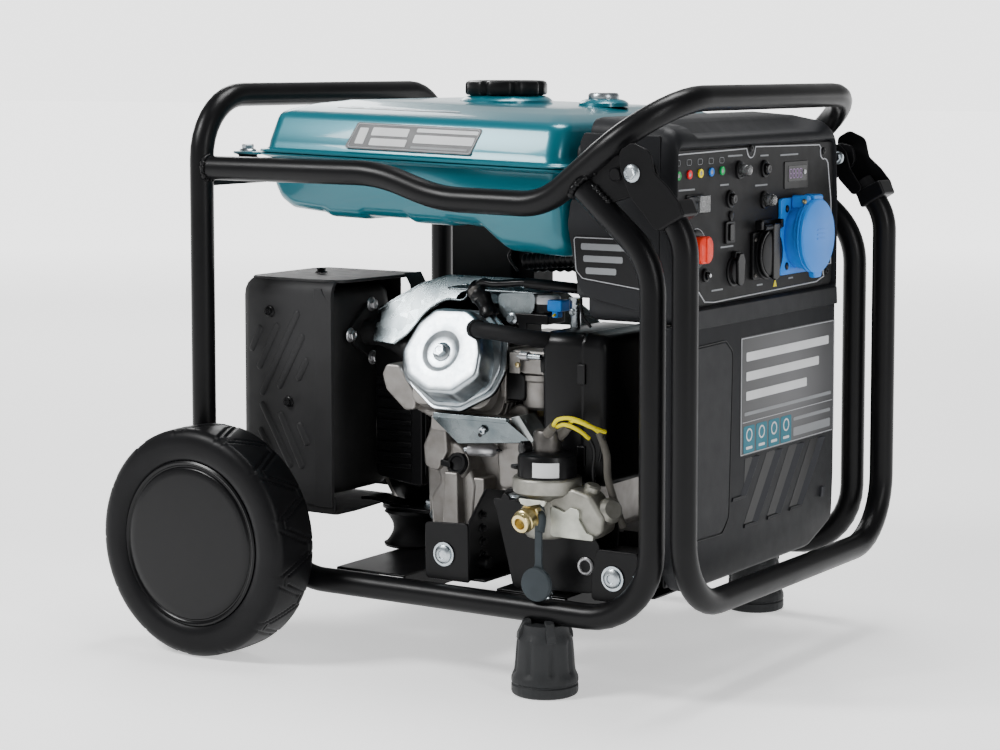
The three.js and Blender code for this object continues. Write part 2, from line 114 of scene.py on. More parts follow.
def towards_backdrop(tree, position, reach, strength, socket):
    """Drives a strength by how far a position lies in the backdrop's direction."""
    along = tree.nodes.new("ShaderNodeVectorMath")
    along.operation = "DOT_PRODUCT"
    along.inputs[1].default_value = (-0.541, 0.841, 0)
    span = tree.nodes.new("ShaderNodeMapRange")
    for name, value in zip(("From Min", "From Max", "To Min", "To Max"), (*reach, *strength)):
        span.inputs[name].default_value = value
    tree.links.new(position, along.inputs[0])
    tree.links.new(along.outputs["Value"], span.inputs["Value"])
    tree.links.new(span.outputs["Result"], socket)


def make_lights():
    studio_world()
    area_light("key", (-1.5, -2.1, 2.4), (0, 0, 0.3), 0.9, 0.9, 105)
    area_light("panel_fill", (2.9, -1.3, 1.5), (0.3, 0, 0.35), 0.5, 1.8, 34)
    area_light("top", (0.1, 0.4, 2.8), (0, 0, 0.3), 1.0, 1.0, 70)
    area_light("rim", (-2.4, 2.3, 1.9), (0, 0, 0.3), 0.8, 1.2, 22)


# ---------------------------------------------------------------- mesh helpers
def carve(thing, x, y, z):
    """Cuts a box, given by its limits in millimetres, out of a piece."""
    corners = [(x[i] * MM, y[j] * MM, z[k] * MM) for i in (0, 1) for j in (0, 1) for k in (0, 1)]
    faces = [(0, 1, 3, 2), (4, 6, 7, 5), (0, 4, 5, 1), (2, 3, 7, 6), (0, 2, 6, 4), (1, 5, 7, 3)]
    mesh = bpy.data.meshes.new("cutter")
    mesh.from_pydata(corners, [], faces)
    cutter = bpy.data.objects.new("cutter", mesh)
    bpy.context.scene.collection.objects.link(cutter)
    modifier = thing.modifiers.new("carve", "BOOLEAN")
    modifier.operation = "DIFFERENCE"
    modifier.object = cutter
    bpy.context.view_layer.update()
    shaped = bpy.data.meshes.new_from_object(thing.evaluated_get(bpy.context.evaluated_depsgraph_get()))
    thing.modifiers.clear()
    thing.data = shaped
    bpy.data.objects.remove(cutter)


def link(name, mesh, material=None, body="frame"):
    thing = bpy.data.objects.new(name, mesh)
    bpy.context.scene.collection.objects.link(thing)
    if material:
        mesh.materials.append(material)
    if body:
        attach(thing, body)
    return thing


def mesh_from(name, points, faces, material=None, body="frame", sharp=35, place=None):
    """A mesh from points in millimetres, smooth except across edges sharper than the given angle."""
    bm = bmesh.new()
    verts = [bm.verts.new(Vector(p) * MM) for p in points]
    for face in faces:
        bm.faces.new([verts[i] for i in face])
    if place:
        bm.transform(place)
    finish_mesh(bm, sharp)
    mesh = bpy.data.meshes.new(name)
    bm.to_mesh(mesh)
    bm.free()
    return link(name, mesh, material, body)


def finish_mesh(bm, sharp):
    bmesh.ops.remove_doubles(bm, verts=bm.verts, dist=1e-6)
    bmesh.ops.recalc_face_normals(bm, faces=bm.faces)
    limit = math.radians(sharp)
    for face in bm.faces:
        face.smooth = True
    for edge in bm.edges:
        edge.smooth = len(edge.link_faces) == 2 and edge.calc_face_angle(0) < limit


def bevel(thing, width, segments=3, angle=30):
    """Rounds the edges of a piece; the width is in millimetres."""
    modifier = thing.modifiers.new("round", "BEVEL")
    modifier.width = width * MM
    modifier.segments = segments
    modifier.limit_method = "ANGLE"
    modifier.angle_limit = math.radians(angle)
    modifier.harden_normals = True
    for face in thing.data.polygons:
        face.use_smooth = True
    return thing


def tilt(angle, axis, x, y, z):
    """A transform that turns about an axis through the origin and then moves to x, y, z (mm)."""
    return Matrix.Translation(Vector((x, y, z)) * MM) @ Matrix.Rotation(math.radians(angle), 4, axis)


def rounded(points, radius, steps=5):
    """A closed 2-D outline with every corner rounded; radius is one number or one for each corner."""
    radii = radius if isinstance(radius, (list, tuple)) else [radius] * len(points)
    result = []
    count = len(points)
    for i, point in enumerate(points):
        corner = Vector(point)
        back = (Vector(points[i - 1]) - corner)
        ahead = (Vector(points[(i + 1) % count]) - corner)
        half = back.angle(ahead) / 2
        room = min(back.length, ahead.length) * 0.499
        reach = min(radii[i] / max(math.tan(half), 1e-6), room)
        if reach < 0.01:
            result.append(tuple(corner))
            continue
        r = reach * math.tan(half)
        start = corner + back.normalized() * reach
        end = corner + ahead.normalized() * reach
        centre = corner + (back.normalized() + ahead.normalized()).normalized() * (r / math.sin(half))
        a = start - centre
        b = end - centre
        turn = a.angle_signed(b) * -1
        for k in range(steps + 1):
            t = turn * k / steps
            cos_t, sin_t = math.cos(t), math.sin(t)
            result.append((centre.x + a.x * cos_t - a.y * sin_t, centre.y + a.x * sin_t + a.y * cos_t))
    return result


def rectangle(u0, u1, v0, v1):
    return [(u0, v0), (u1, v0), (u1, v1), (u0, v1)]


PLANES = {"XZ": lambda u, v, w: (u, w, v), "YZ": lambda u, v, w: (w, u, v), "XY": lambda u, v, w: (u, v, w)}


def loft(name, loops, material=None, body="frame", caps=(True, True), sharp=35, place=None):
    """Joins loops of equal length by bands of quads; each loop is a list of 3-D points in millimetres."""
    count = len(loops[0])
    points = [p for loop in loops for p in loop]
    faces = []
    for i in range(len(loops) - 1):
        for k in range(count):
            n = (k + 1) % count
            faces.append((i * count + k, i * count + n, (i + 1) * count + n, (i + 1) * count + k))
    if caps[0]:
        faces.append(tuple(range(count)))
    if caps[1]:
        faces.append(tuple(range((len(loops) - 1) * count, len(loops) * count)))
    return mesh_from(name, points, faces, material, body, sharp, place)


def prism(name, outline, plane, low, high, material=None, body="frame", edge=0.8, place=None, segments=2):
    """A plate with the given outline in a plane, from low to high across it, its rim rounded by edge."""
    lift = PLANES[plane]
    loops = [[lift(u, v, w) for u, v in outline] for w in (low, high)]
    thing = loft(name, loops, material, body, place=place)
    return bevel(thing, edge, segments, 40) if edge else thing


def block(name, x, y, z, material=None, body="frame", edge=1.0, place=None):
    """A block with softened edges; x, y and z are (low, high)."""
    return prism(name, rectangle(*x, *y), "XY", *z, material, body, edge, place)


AXES = {"X": Vector((1, 0, 0)), "Y": Vector((0, 1, 0)), "Z": Vector((0, 0, 1))}


def lathe(name, profile, centre, axis="Z", material=None, body="frame", sides=40, sharp=35, ripple=None):
    """Turns a profile of (radius, distance along the axis) about an axis through centre.

    ripple(angle, radius, distance) may return a changed radius, for lobes and knurls."""
    direction = AXES[axis] if isinstance(axis, str) else Vector(axis).normalized()
    across = direction.orthogonal().normalized()
    if axis == "Y":
        across = Vector((1, 0, 0))
    other = direction.cross(across)
    loops = []
    for radius, distance in profile:
        loop = []
        for k in range(sides):
            angle = 2 * math.pi * k / sides
            r = ripple(angle, radius, distance) if ripple else radius
            spoke = across * math.cos(angle) + other * math.sin(angle)
            loop.append(Vector(centre) + direction * distance + spoke * max(r, 0.001))
        loops.append(loop)
    return loft(name, loops, material, body, sharp=sharp)


def bend(corners, radii, steps=8):
    """Points of a path with straight runs and rounded corners."""
    path = [Vector(corners[0])]
    for i in range(1, len(corners) - 1):
        corner = Vector(corners[i])
        back = (Vector(corners[i - 1]) - corner).normalized()
        ahead = (Vector(corners[i + 1]) - corner).normalized()
        half = back.angle(ahead) / 2
        radius = radii[i - 1]
        start = corner + back * (radius / math.tan(half))
        centre = corner + (back + ahead).normalized() * (radius / math.sin(half))
        axis = ahead.cross(back).normalized()
        for k in range(steps + 1):
            turn = Matrix.Rotation((math.pi - 2 * half) * k / steps, 3, axis)
            path.append(centre + turn @ (start - centre))
    path.append(Vector(corners[-1]))
    return path


def smooth_path(points, per_span=8):
    """A soft curve through a few given points (Catmull-Rom)."""
    p = [Vector(q) for q in points]
    p = [p[0] * 2 - p[1]] + p + [p[-1] * 2 - p[-2]]
    path = []
    for i in range(1, len(p) - 2):
        for k in range(per_span):
            t = k / per_span
            a = 2 * p[i]
            b = (p[i + 1] - p[i - 1]) * t
            c = (2 * p[i - 1] - 5 * p[i] + 4 * p[i + 1] - p[i + 2]) * t * t
            d = (3 * p[i] - p[i - 1] - 3 * p[i + 1] + p[i + 2]) * t ** 3
            path.append((a + b + c + d) / 2)
    path.append(p[-2])
    return path


def sweep(name, path, radius, material=None, body="frame", sides=20):
    """A round bar or tube along a path; radius may be a function of the share of the way along."""
    loops = []
    up = None
    for i, point in enumerate(path):
        before = path[max(i - 1, 0)]
        after = path[min(i + 1, len(path) - 1)]
        along = (after - before).normalized()
        up = along.orthogonal().normalized() if up is None else (up - along * up.dot(along)).normalized()
        side = along.cross(up)
        r = radius(i / (len(path) - 1)) if callable(radius) else radius
        angles = [2 * math.pi * k / sides for k in range(sides)]
        loops.append([point + (up * math.cos(a) + side * math.sin(a)) * r for a in angles])
    return loft(name, loops, material, body, sharp=50)


def joined(name, things):
    """Makes one object of several, keeping their modifiers' results and materials."""
    bpy.context.view_layer.update()
    depsgraph = bpy.context.evaluated_depsgraph_get()
    bm = bmesh.new()
    materials = []
    for thing in things:
        evaluated = thing.evaluated_get(depsgraph)
        mesh = bpy.data.meshes.new_from_object(evaluated, depsgraph=depsgraph)
        slots = []
        for material in mesh.materials:
            if material not in materials:
                materials.append(material)
            slots.append(materials.index(material))
        first = len(bm.faces)
        bm.from_mesh(mesh)
        bm.faces.ensure_lookup_table()
        for face in bm.faces[first:]:
            face.material_index = slots[face.material_index] if slots else 0
        bpy.data.meshes.remove(mesh)
    merged = bpy.data.meshes.new(name)
    bm.to_mesh(merged)
    bm.free()
    for material in materials:
        merged.materials.append(material)
    for thing in things:
        bpy.data.objects.remove(thing, do_unlink=True)
    return merged


# ---------------------------------------------------------------- materials
def shader(name, color, roughness, metallic=0.0, coat=0.0, specular=0.5):
    material = bpy.data.materials.new(name)
    material.use_nodes = True
    principled = bsdf(material)
    principled.inputs["Base Color"].default_value = (*color, 1)
    principled.inputs["Roughness"].default_value = roughness
    principled.inputs["Metallic"].default_value = metallic
    principled.inputs["Coat Weight"].default_value = coat
    principled.inputs["Coat Roughness"].default_value = 0.06
    principled.inputs["Specular IOR Level"].default_value = specular
    return material


def bsdf(material):
    return material.node_tree.nodes["Principled BSDF"]


def node(material, kind, **inputs):
    made = material.node_tree.nodes.new(kind)
    for key, value in inputs.items():
        made.inputs[key.replace("_", " ")].default_value = value
    return made


def noise_node(material, scale, detail=3, roughness=0.5):
    made = node(material, "ShaderNodeTexNoise", Scale=scale, Detail=detail, Roughness=roughness)
    position = material.node_tree.nodes.new("ShaderNodeTexCoord")
    material.node_tree.links.new(position.outputs["Object"], made.inputs["Vector"])
    return made.outputs["Fac"]


def cells(material, scale, output="Color"):
    made = node(material, "ShaderNodeTexVoronoi", Scale=scale)
    position = material.node_tree.nodes.new("ShaderNodeTexCoord")
    material.node_tree.links.new(position.outputs["Object"], made.inputs["Vector"])
    return made.outputs[output]


def vary_color(material, factor, dark, light, low=0.3, high=0.7):
    """Colour runs from dark to light as the factor runs from low to high."""
    ramp = material.node_tree.nodes.new("ShaderNodeValToRGB")
    ramp.color_ramp.elements[0].position = low
    ramp.color_ramp.elements[1].position = high
    ramp.color_ramp.elements[0].color = (*dark, 1)
    ramp.color_ramp.elements[1].color = (*light, 1)
    links = material.node_tree.links
    links.new(factor, ramp.inputs["Fac"])
    links.new(ramp.outputs["Color"], bsdf(material).inputs["Base Color"])


def vary_roughness(material, factor, low, high):
    span = material.node_tree.nodes.new("ShaderNodeMapRange")
    span.inputs["To Min"].default_value = low
    span.inputs["To Max"].default_value = high
    links = material.node_tree.links
    links.new(factor, span.inputs["Value"])
    links.new(span.outputs["Result"], bsdf(material).inputs["Roughness"])


def add_bump(material, height, strength, distance):
    made = material.node_tree.nodes.new("ShaderNodeBump")
    made.inputs["Strength"].default_value = strength
    made.inputs["Distance"].default_value = distance * MM
    links = material.node_tree.links
    principled = bsdf(material)
    if principled.inputs["Normal"].is_linked:
        links.new(principled.inputs["Normal"].links[0].from_socket, made.inputs["Normal"])
    links.new(height, made.inputs["Height"])
    links.new(made.outputs["Normal"], principled.inputs["Normal"])


def powder_coat():
    material = shader("powder_coat", (0.004, 0.004, 0.0045), 0.30, specular=0.15)
    vary_color(material, noise_node(material, 9), (0.003, 0.003, 0.0035), (0.005, 0.005, 0.0055))
    vary_roughness(material, noise_node(material, 30, 4), 0.26, 0.40)
    add_bump(material, noise_node(material, 700, 2), 0.35, 0.12)
    return material


def tank_paint():
    material = shader("tank_paint", (0.0, 0.11, 0.15), 0.3, metallic=0.25, coat=0.35, specular=0.35)
    vary_color(material, noise_node(material, 6), (0.001, 0.108, 0.144), (0.002, 0.122, 0.160))
    add_bump(material, noise_node(material, 260, 2), 0.08, 0.08)
    return material


def zinc_plate(name="zinc_plate", smooth=0.18, rough=0.42):
    material = shader(name, (0.4, 0.44, 0.48), 0.28, metallic=1.0)
    vary_color(material, noise_node(material, 120), (0.36, 0.41, 0.45), (0.50, 0.54, 0.56))
    vary_roughness(material, noise_node(material, 300, 4), smooth, rough)
    return material


def metal(name, color, roughness):
    material = shader(name, color, roughness, metallic=0.9)
    vary_color(material, noise_node(material, 60, 5, 0.6), tuple(c * 0.75 for c in color),
               tuple(c * 1.25 for c in color))
    vary_roughness(material, noise_node(material, 240, 4), roughness * 0.8, roughness * 1.3)
    add_bump(material, noise_node(material, 800, 3), 0.25, 0.15)
    return material


def galvanised_sheet():
    material = shader("galvanised_sheet", (0.6, 0.63, 0.63), 0.3, metallic=1.0)
    vary_color(material, noise_node(material, 24, 4, 0.6), (0.12, 0.145, 0.155), (0.22, 0.25, 0.26), 0.35,
               0.65)
    vary_roughness(material, cells(material, 90), 0.16, 0.34)
    add_bump(material, noise_node(material, 160, 4), 0.15, 0.15)
    return material


def cast_aluminium():
    material = shader("cast_aluminium", (0.30, 0.285, 0.27), 0.48, metallic=0.85)
    vary_color(material, noise_node(material, 55, 5, 0.65), (0.235, 0.22, 0.205), (0.34, 0.325, 0.31), 0.3,
               0.7)
    vary_roughness(material, noise_node(material, 220, 4), 0.36, 0.6)
    add_bump(material, noise_node(material, 900, 3), 0.5, 0.25)
    return material


def textured_plastic(name, color, scale=900, strength=0.5):
    material = shader(name, color, 0.5, specular=0.17)
    light = tuple(c * 1.25 for c in color)
    vary_color(material, noise_node(material, 12), color, light)
    vary_roughness(material, noise_node(material, 60, 4), 0.42, 0.58)
    add_bump(material, cells(material, scale, "Distance"), strength, 0.12)
    return material


def smooth_plastic(name, color, roughness=0.3):
    material = shader(name, color, roughness, specular=0.2)
    vary_color(material, noise_node(material, 15), tuple(c * 0.92 for c in color),
               tuple(min(c * 1.08, 1) for c in color))
    vary_roughness(material, noise_node(material, 80, 4), roughness * 0.85, roughness * 1.2)
    add_bump(material, noise_node(material, 420, 3), 0.12, 0.1)
    return material


def rubber(name, color, roughness):
    material = shader(name, color, roughness, specular=0.12)
    vary_color(material, noise_node(material, 22, 5), color, tuple(c * 1.5 for c in color))
    vary_roughness(material, noise_node(material, 90, 5), roughness * 0.85, min(roughness * 1.15, 1))
    add_bump(material, noise_node(material, 1100, 3), 0.3, 0.12)
    return material


def heat_paint(name="heat_paint", shade=1.0):
    material = shader(name, (0.02, 0.021, 0.024), 0.55, specular=0.2)
    dark = tuple(c * shade for c in (0.014, 0.014, 0.0145))
    light = tuple(c * shade for c in (0.022, 0.022, 0.023))
    vary_color(material, noise_node(material, 14, 5), dark, light)
    vary_roughness(material, noise_node(material, 70, 4), 0.42, 0.66)
    add_bump(material, noise_node(material, 1000, 3), 0.4, 0.15)
    return material


def brass():
    material = shader("brass", (0.66, 0.54, 0.27), 0.3, metallic=1.0)
    vary_color(material, noise_node(material, 80, 4), (0.58, 0.46, 0.20), (0.76, 0.64, 0.34))
    vary_roughness(material, noise_node(material, 200, 4), 0.2, 0.42)
    return material


def clear_cover():
    material = shader("clear_cover", (0.55, 0.57, 0.58), 0.12)
    bsdf(material).inputs["Transmission Weight"].default_value = 0.92
    add_bump(material, noise_node(material, 300, 3), 0.2, 0.1)
    return material


def label_painted_highlight():
    """Grey plate that is lighter in the middle than towards its edges, with a fine bumpy grain."""
    material = shader("label_painted_highlight", (0.09, 0.09, 0.095), 0.42, specular=0.5)
    nodes, links = material.node_tree.nodes, material.node_tree.links
    # The spherical gradient below paints a highlight: the base colour is lighter in the middle than at the
    # edges.
    spot = nodes.new("ShaderNodeTexGradient")
    spot.gradient_type = "SPHERICAL"
    place = nodes.new("ShaderNodeMapping")
    place.inputs["Location"].default_value = (0, -0.55, -2.4)
    place.inputs["Scale"].default_value = (0, 6.5, 7.8)
    position = nodes.new("ShaderNodeTexCoord")
    links.new(position.outputs["Object"], place.inputs["Vector"])
    links.new(place.outputs["Vector"], spot.inputs["Vector"])
    vary_color(material, spot.outputs["Fac"], (0.016, 0.0165, 0.018), (0.085, 0.085, 0.09), 0.0, 0.9)
    add_bump(material, noise_node(material, 500, 3), 0.15, 0.1)
    return material


def glow(name, color, strength):
    material = shader(name, color, 0.3)
    principled = bsdf(material)
    principled.inputs["Emission Color"].default_value = (*color, 1)
    principled.inputs["Emission Strength"].default_value = strength
    add_bump(material, noise_node(material, 200, 2), 0.1, 0.1)
    return material


POWDER = powder_coat()
TEAL = tank_paint()
ZINC = zinc_plate()
GALVANISED = galvanised_sheet()
CAST = cast_aluminium()
HEAT = heat_paint()
BRASS = brass()
CLEAR = clear_cover()
CHARCOAL = textured_plastic("charcoal_plastic", (0.010, 0.0105, 0.012))
GRIT = textured_plastic("coarse_plastic", (0.020, 0.021, 0.022), 600, 0.8)
PANEL_SKIN = textured_plastic("panel_skin", (0.0075, 0.0075, 0.008), 1400, 0.3)
BLACK = smooth_plastic("black_plastic", (0.004, 0.004, 0.0045), 0.32)
SHINY = smooth_plastic("shiny_plastic", (0.0035, 0.0035, 0.004), 0.2)
BLUE = smooth_plastic("blue_plastic", (0.016, 0.20, 0.66), 0.3)
RED = smooth_plastic("red_plastic", (0.80, 0.045, 0.02), 0.34)
YELLOW = smooth_plastic("yellow_sleeve", (0.62, 0.52, 0.008), 0.4)
WHITE = smooth_plastic("white_print", (0.60, 0.61, 0.62), 0.5)
GREY = smooth_plastic("grey_print", (0.22, 0.23, 0.24), 0.45)
RUBBER = rubber("rubber", (0.006, 0.006, 0.0065), 0.6)
TYRE = rubber("tyre_rubber", (0.0035, 0.0035, 0.004), 0.4)
SILVER_LINE = smooth_plastic("silver_line", (0.42, 0.43, 0.45), 0.35)
GREY_PADDLE = smooth_plastic("grey_paddle", (0.06, 0.06, 0.064), 0.35)
GREY_LENS = smooth_plastic("grey_lens", (0.30, 0.30, 0.31), 0.25)
# Lighter plastic for the louvre blades: painted light on their sloping faces.
LOUVRE_PAINTED_LIGHT = textured_plastic("louvre_blade", (0.026, 0.027, 0.031), 700, 0.6)
LABEL_PAINTED_HIGHLIGHT = label_painted_highlight()
LABEL_DARK = smooth_plastic("label_dark", (0.050, 0.052, 0.055), 0.35)
HUB = smooth_plastic("hub_cover", (0.003, 0.003, 0.0035), 0.24)
HEAT_DARK = heat_paint("heat_dark", 0.6)
ZINC_SATIN = zinc_plate("zinc_satin", 0.24, 0.4)
STEEL = metal("machined_steel", (0.42, 0.42, 0.43), 0.34)
STEEL_DARK = metal("dark_steel", (0.09, 0.085, 0.08), 0.4)
COPPER = metal("copper_winding", (0.50, 0.22, 0.11), 0.35)
GALVANISED_DARK = metal("shaded_galvanised", (0.30, 0.32, 0.32), 0.32)
CAST_OLIVE = metal("olive_casting", (0.27, 0.265, 0.235), 0.45)
CAST_PALE = metal("pale_casting", (0.50, 0.51, 0.45), 0.5)
RUBBER_GREY = rubber("grey_rubber", (0.075, 0.07, 0.062), 0.55)
RUBBER_BLUE = rubber("slate_rubber", (0.026, 0.032, 0.036), 0.6)


# ---------------------------------------------------------------- fasteners and welds
def flange_bolt(name, place, direction, size=22, material=None):
    """A flanged hex bolt; place is under the flange, direction points out of the surface."""
    out = Vector(direction).normalized()
    material = material or ZINC
    flange = [(0, 0), (size * 0.5, 0), (size * 0.5, size * 0.05), (size * 0.44, size * 0.11),
              (size * 0.3, size * 0.16)]
    base = lathe(name + "_flange", flange + [(0, size * 0.16)], place, tuple(out), material, None, 28)
    head = [(size * 0.34, size * 0.12), (size * 0.36, size * 0.34), (size * 0.31, size * 0.39)]
    dish = [(size * 0.22, size * 0.39), (size * 0.19, size * 0.35), (0, size * 0.345)]
    top = lathe(name + "_head", [(0, size * 0.12)] + head + dish, place, tuple(out), material, None, 6, 25)
    return link(name, joined(name, [base, top]), None, "frame")


def screw(name, place, direction, size=8, material=None):
    """A small pan-head screw with a cross recess suggested by a dished top."""
    profile = [(0, 0), (size * 0.5, 0), (size * 0.5, size * 0.12), (size * 0.38, size * 0.3)]
    recess = [(size * 0.16, size * 0.34), (size * 0.12, size * 0.16), (0, size * 0.16)]
    return lathe(name, profile + recess, place, tuple(direction), material or ZINC, sides=20)


def weld_bead(name, path, radius=3.2):
    """A row of overlapping ripples along a joint."""
    points = []
    for i in range(len(path) - 1):
        steps = max(int((path[i + 1] - path[i]).length / 1.5), 1)
        points += [path[i].lerp(path[i + 1], k / steps) for k in range(steps)]
    count = len(points)
    jitter = [random.uniform(-0.5, 0.5) for _ in range(count)]

    def size(share):
        i = min(int(share * (count - 1)), count - 1)
        ends = min(1, 6 * share + 0.2, 6 * (1 - share) + 0.2)
        return ends * (radius + 0.7 * math.sin(i * 1.9) + jitter[i])

    return sweep(name, points, size, POWDER, "frame", 10)


def ring_round_tube(centre, axis, radius):
    """Points of a circle round an axis, for a weld where a tube meets something."""
    direction = Vector(axis).normalized()
    across = direction.orthogonal().normalized()
    other = direction.cross(across)
    angles = [math.radians(360 * k / 28) for k in range(29)]
    return [Vector(centre) + (across * math.cos(a) + other * math.sin(a)) * radius for a in angles]


# ---------------------------------------------------------------- frame
WHEEL_END_X = -284.0
PANEL_END_X = 318.0
RAIL_Z = 90.0
GRAB_X = 327.0
GRAB_R = 90.0
SLOPE = math.radians(38.5)
PIVOT = Vector((302.0, 0.0, 565.0))


def grab_point(back, y):
    return (GRAB_X - back * math.cos(SLOPE), y, TOP_Z - back * math.sin(SLOPE))


def main_tube():
    half = [(235, 546.5), (PANEL_END_X, 473), (PANEL_END_X, RAIL_Z), (-140, RAIL_Z), (WHEEL_END_X, 215),
            (WHEEL_END_X, TOP_Z)]
    front = [(x, -SIDE_Y, z) for x, z in half]
    back = [(x, SIDE_Y, z) for x, z in reversed(half)]
    path = bend(front + back, [80, 78, 80, 60, 75, 75, 60, 80, 78, 80], 9)
    tube = sweep("main_tube", path, TUBE_R, POWDER, sides=32)
    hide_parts("wheel_end_hoop", "lower_tube_front", "lower_tube_back")


def top_tube():
    start = WHEEL_END_X + TUBE_R * 0.6
    half = [(start, 557), (-30, 556), (50, 530.5), (185, 528)]
    front = [(x, -SIDE_Y, z) for x, z in half] + [grab_point(0, -SIDE_Y)]
    back = [grab_point(0, SIDE_Y)] + [(x, SIDE_Y, z) for x, z in reversed(half)]
    path = bend(front + back, [200, 200, 80, GRAB_R, GRAB_R, 80, 200, 200], 9)
    tube = sweep("top_tube", path, TUBE_R, POWDER, sides=32)
    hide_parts("top_rail_front", "top_rail_back", "grab_bar")


def frame_welds():
    for label, side in SIDES:
        y = side * SIDE_Y
        upright = ring_round_tube((WHEEL_END_X + 12.5, y, 557), (1, 0, 0), TUBE_R + 0.5)
        weld_bead(f"weld_rail_{label}", upright, 2.6)
        brace = ring_round_tube((232, y, 549.5), (0.749, 0, -0.663), TUBE_R + 1.0)
        weld_bead(f"weld_brace_{label}", brace, 3.2)


def cross_channels():
    for label in ("wheel", "panel"):
        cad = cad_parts[f"cross_channel_{label}"]
        low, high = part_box(f"cross_channel_{label}")
        x0, x1 = low.x / MM, high.x / MM
        top = high.z / MM
        side = [(x0, top - 24), (x0, top), (x1, top), (x1, top - 24), (x1 - 3, top - 24), (x1 - 3, top - 3),
                (x0 + 3, top - 3), (x0 + 3, top - 24)]
        loops = [[(u, y, v) for u, v in side] for y in (-236, 236)]
        channel = bevel(loft(f"channel_{label}", loops, POWDER), 1.2, 2)
        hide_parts(cad.name)


def pivot_plates():
    outline = rounded([(259, 573), (238, 553), (262, 530), (296, 541), (318, 558), (314, 579), (296, 583),
                       (290, 573), (278, 585)], [4, 6, 6, 14, 12, 9, 6, 5, 6])
    for label, side in SIDES:
        y = side * SIDE_Y
        plate = prism(f"pivot_plate_{label}", outline, "XZ", y - 3, y + 3, POWDER, edge=1)
        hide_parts(f"pivot_ear_{label}")
        along = [Vector((258 + 10 * k / 6 - 14, y + side * 4, 571 - 2.4 * k)) for k in range(6)]
        weld_bead(f"weld_ear_{label}", along, 3.4)
        rim = [Vector((246 + 3.6 * k, y + side * 5, 552 - 3.2 * k)) for k in range(8)]
        weld_bead(f"weld_ear_low_{label}", rim, 3.6)
        bolt = flange_bolt(f"pivot_bolt_head_{label}", (PIVOT.x, y + side * 17, PIVOT.z), (0, side, 0), 19)
        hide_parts(f"pivot_bolt_{label}")
        flange_bolt(f"pivot_nut_{label}", (PIVOT.x, y - side * 17, PIVOT.z), (0, -side, 0), 16)
        lathe(f"pivot_shank_{label}", [(0, -34), (5, -34), (5, 2), (0, 2)],
              (PIVOT.x, y + side * 17, PIVOT.z), (0, side, 0), ZINC)
        lathe(f"stop_pin_{label}", [(0, 0), (7, 0), (7.4, 4), (6, 5.5), (0, 5.5)], (276, y + side * 3, 563),
              (0, side, 0), POWDER)


# ---------------------------------------------------------------- folding handle
def folding_handle():
    y = SIDE_Y
    corners = [(325, -y, 535), (356, -y, 500), (356, -y, 107), (356, y, 107), (356, y, 500), (325, y, 535)]
    tube = sweep("handle_tube", bend(corners, [60, 78, 78, 60], 10), TUBE_R, POWDER, "handle", 32)
    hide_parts("folding_handle")
    cheek = rounded([(286, 588), (288, 566), (300, 540), (318, 520), (330, 506), (361, 524), (356, 538),
                     (338, 556), (328, 566), (323, 588), (302, 597)], [8, 10, 16, 12, 5, 5, 8, 10, 8, 12, 8])
    inner = rounded([(288, 578), (290, 560), (304, 538), (322, 520), (334, 528), (318, 552), (312, 572),
                     (302, 582)], [8, 8, 12, 5, 5, 8, 8, 8])
    wrap = rounded([(332, 505), (363, 523), (355, 540), (324, 524)], 3)
    for label, side in SIDES:
        base = side * SIDE_Y
        for name, offset, shape in (("outer", side * 15.4, cheek), ("inner", -side * 15.4, inner)):
            prism(f"handle_cheek_{name}_{label}", shape, "XZ", base + offset - 1.5, base + offset + 1.5,
                  POWDER, "handle", 0.8)
        prism(f"handle_sleeve_{label}", wrap, "XZ", base - 16.5, base + 16.5, POWDER, "handle", 4,
              segments=4)


# ---------------------------------------------------------------- wheels and feet
WHEEL = Vector((-238.0, 0.0, 132.0))
WHEEL_R = 132.0
WHEEL_IN = 265.0
WHEEL_WIDTH = 72.0
TREAD_REPEATS = 13


def tread_line(phase):
    """How far across the tyre the zig-zag groove runs, for a share of one repeat."""
    low, high = 13.0, 59.0
    if phase < 0.10 or phase > 0.92:
        return low
    if phase < 0.44:
        return low + (high - low) * (phase - 0.10) / 0.34
    if phase < 0.58:
        return high
    return high - (high - low) * (phase - 0.58) / 0.34


def tread_cut(phase, depth):
    """Depth of the twin grooves at a point of the tread."""
    slope = 0.10 < phase < 0.44 or 0.58 < phase < 0.92
    gap = abs(depth - tread_line(phase)) * (0.43 if slope else 1.0)
    return 1.7 * max(0.0, 1 - abs(gap - 3.6) / 1.7) ** 0.5


def tyre(side):
    """Rings of the tyre section, with the grooves of the tread cut in."""
    sides = TREAD_REPEATS * 34
    shoulder = [(96, 4), (99, 1.6), (106, 0.4), (114, 0), (120, 0.6), (124.5, 2), (128, 4.6), (130.6, 8)]
    middle = [(WHEEL_R, 11 + 1.25 * k) for k in range(41)]
    far = [(r, WHEEL_WIDTH - depth) for r, depth in reversed(shoulder)]
    loops = []
    for r, depth in shoulder + middle + far + [(94, WHEEL_WIDTH / 2)]:
        crown = 0.9 * (abs(depth - WHEEL_WIDTH / 2) / 25) ** 2 if r == WHEEL_R else 0
        loop = []
        for k in range(sides):
            angle = 2 * math.pi * k / sides
            cut = tread_cut((k / 34) % 1, depth) if r > 126 else 0
            here = r - crown - cut
            loop.append((WHEEL.x + here * math.cos(angle), side * (WHEEL_IN + depth),
                         WHEEL.z + here * math.sin(angle)))
        loops.append(loop)
    loops.append(loops[0])
    return loops


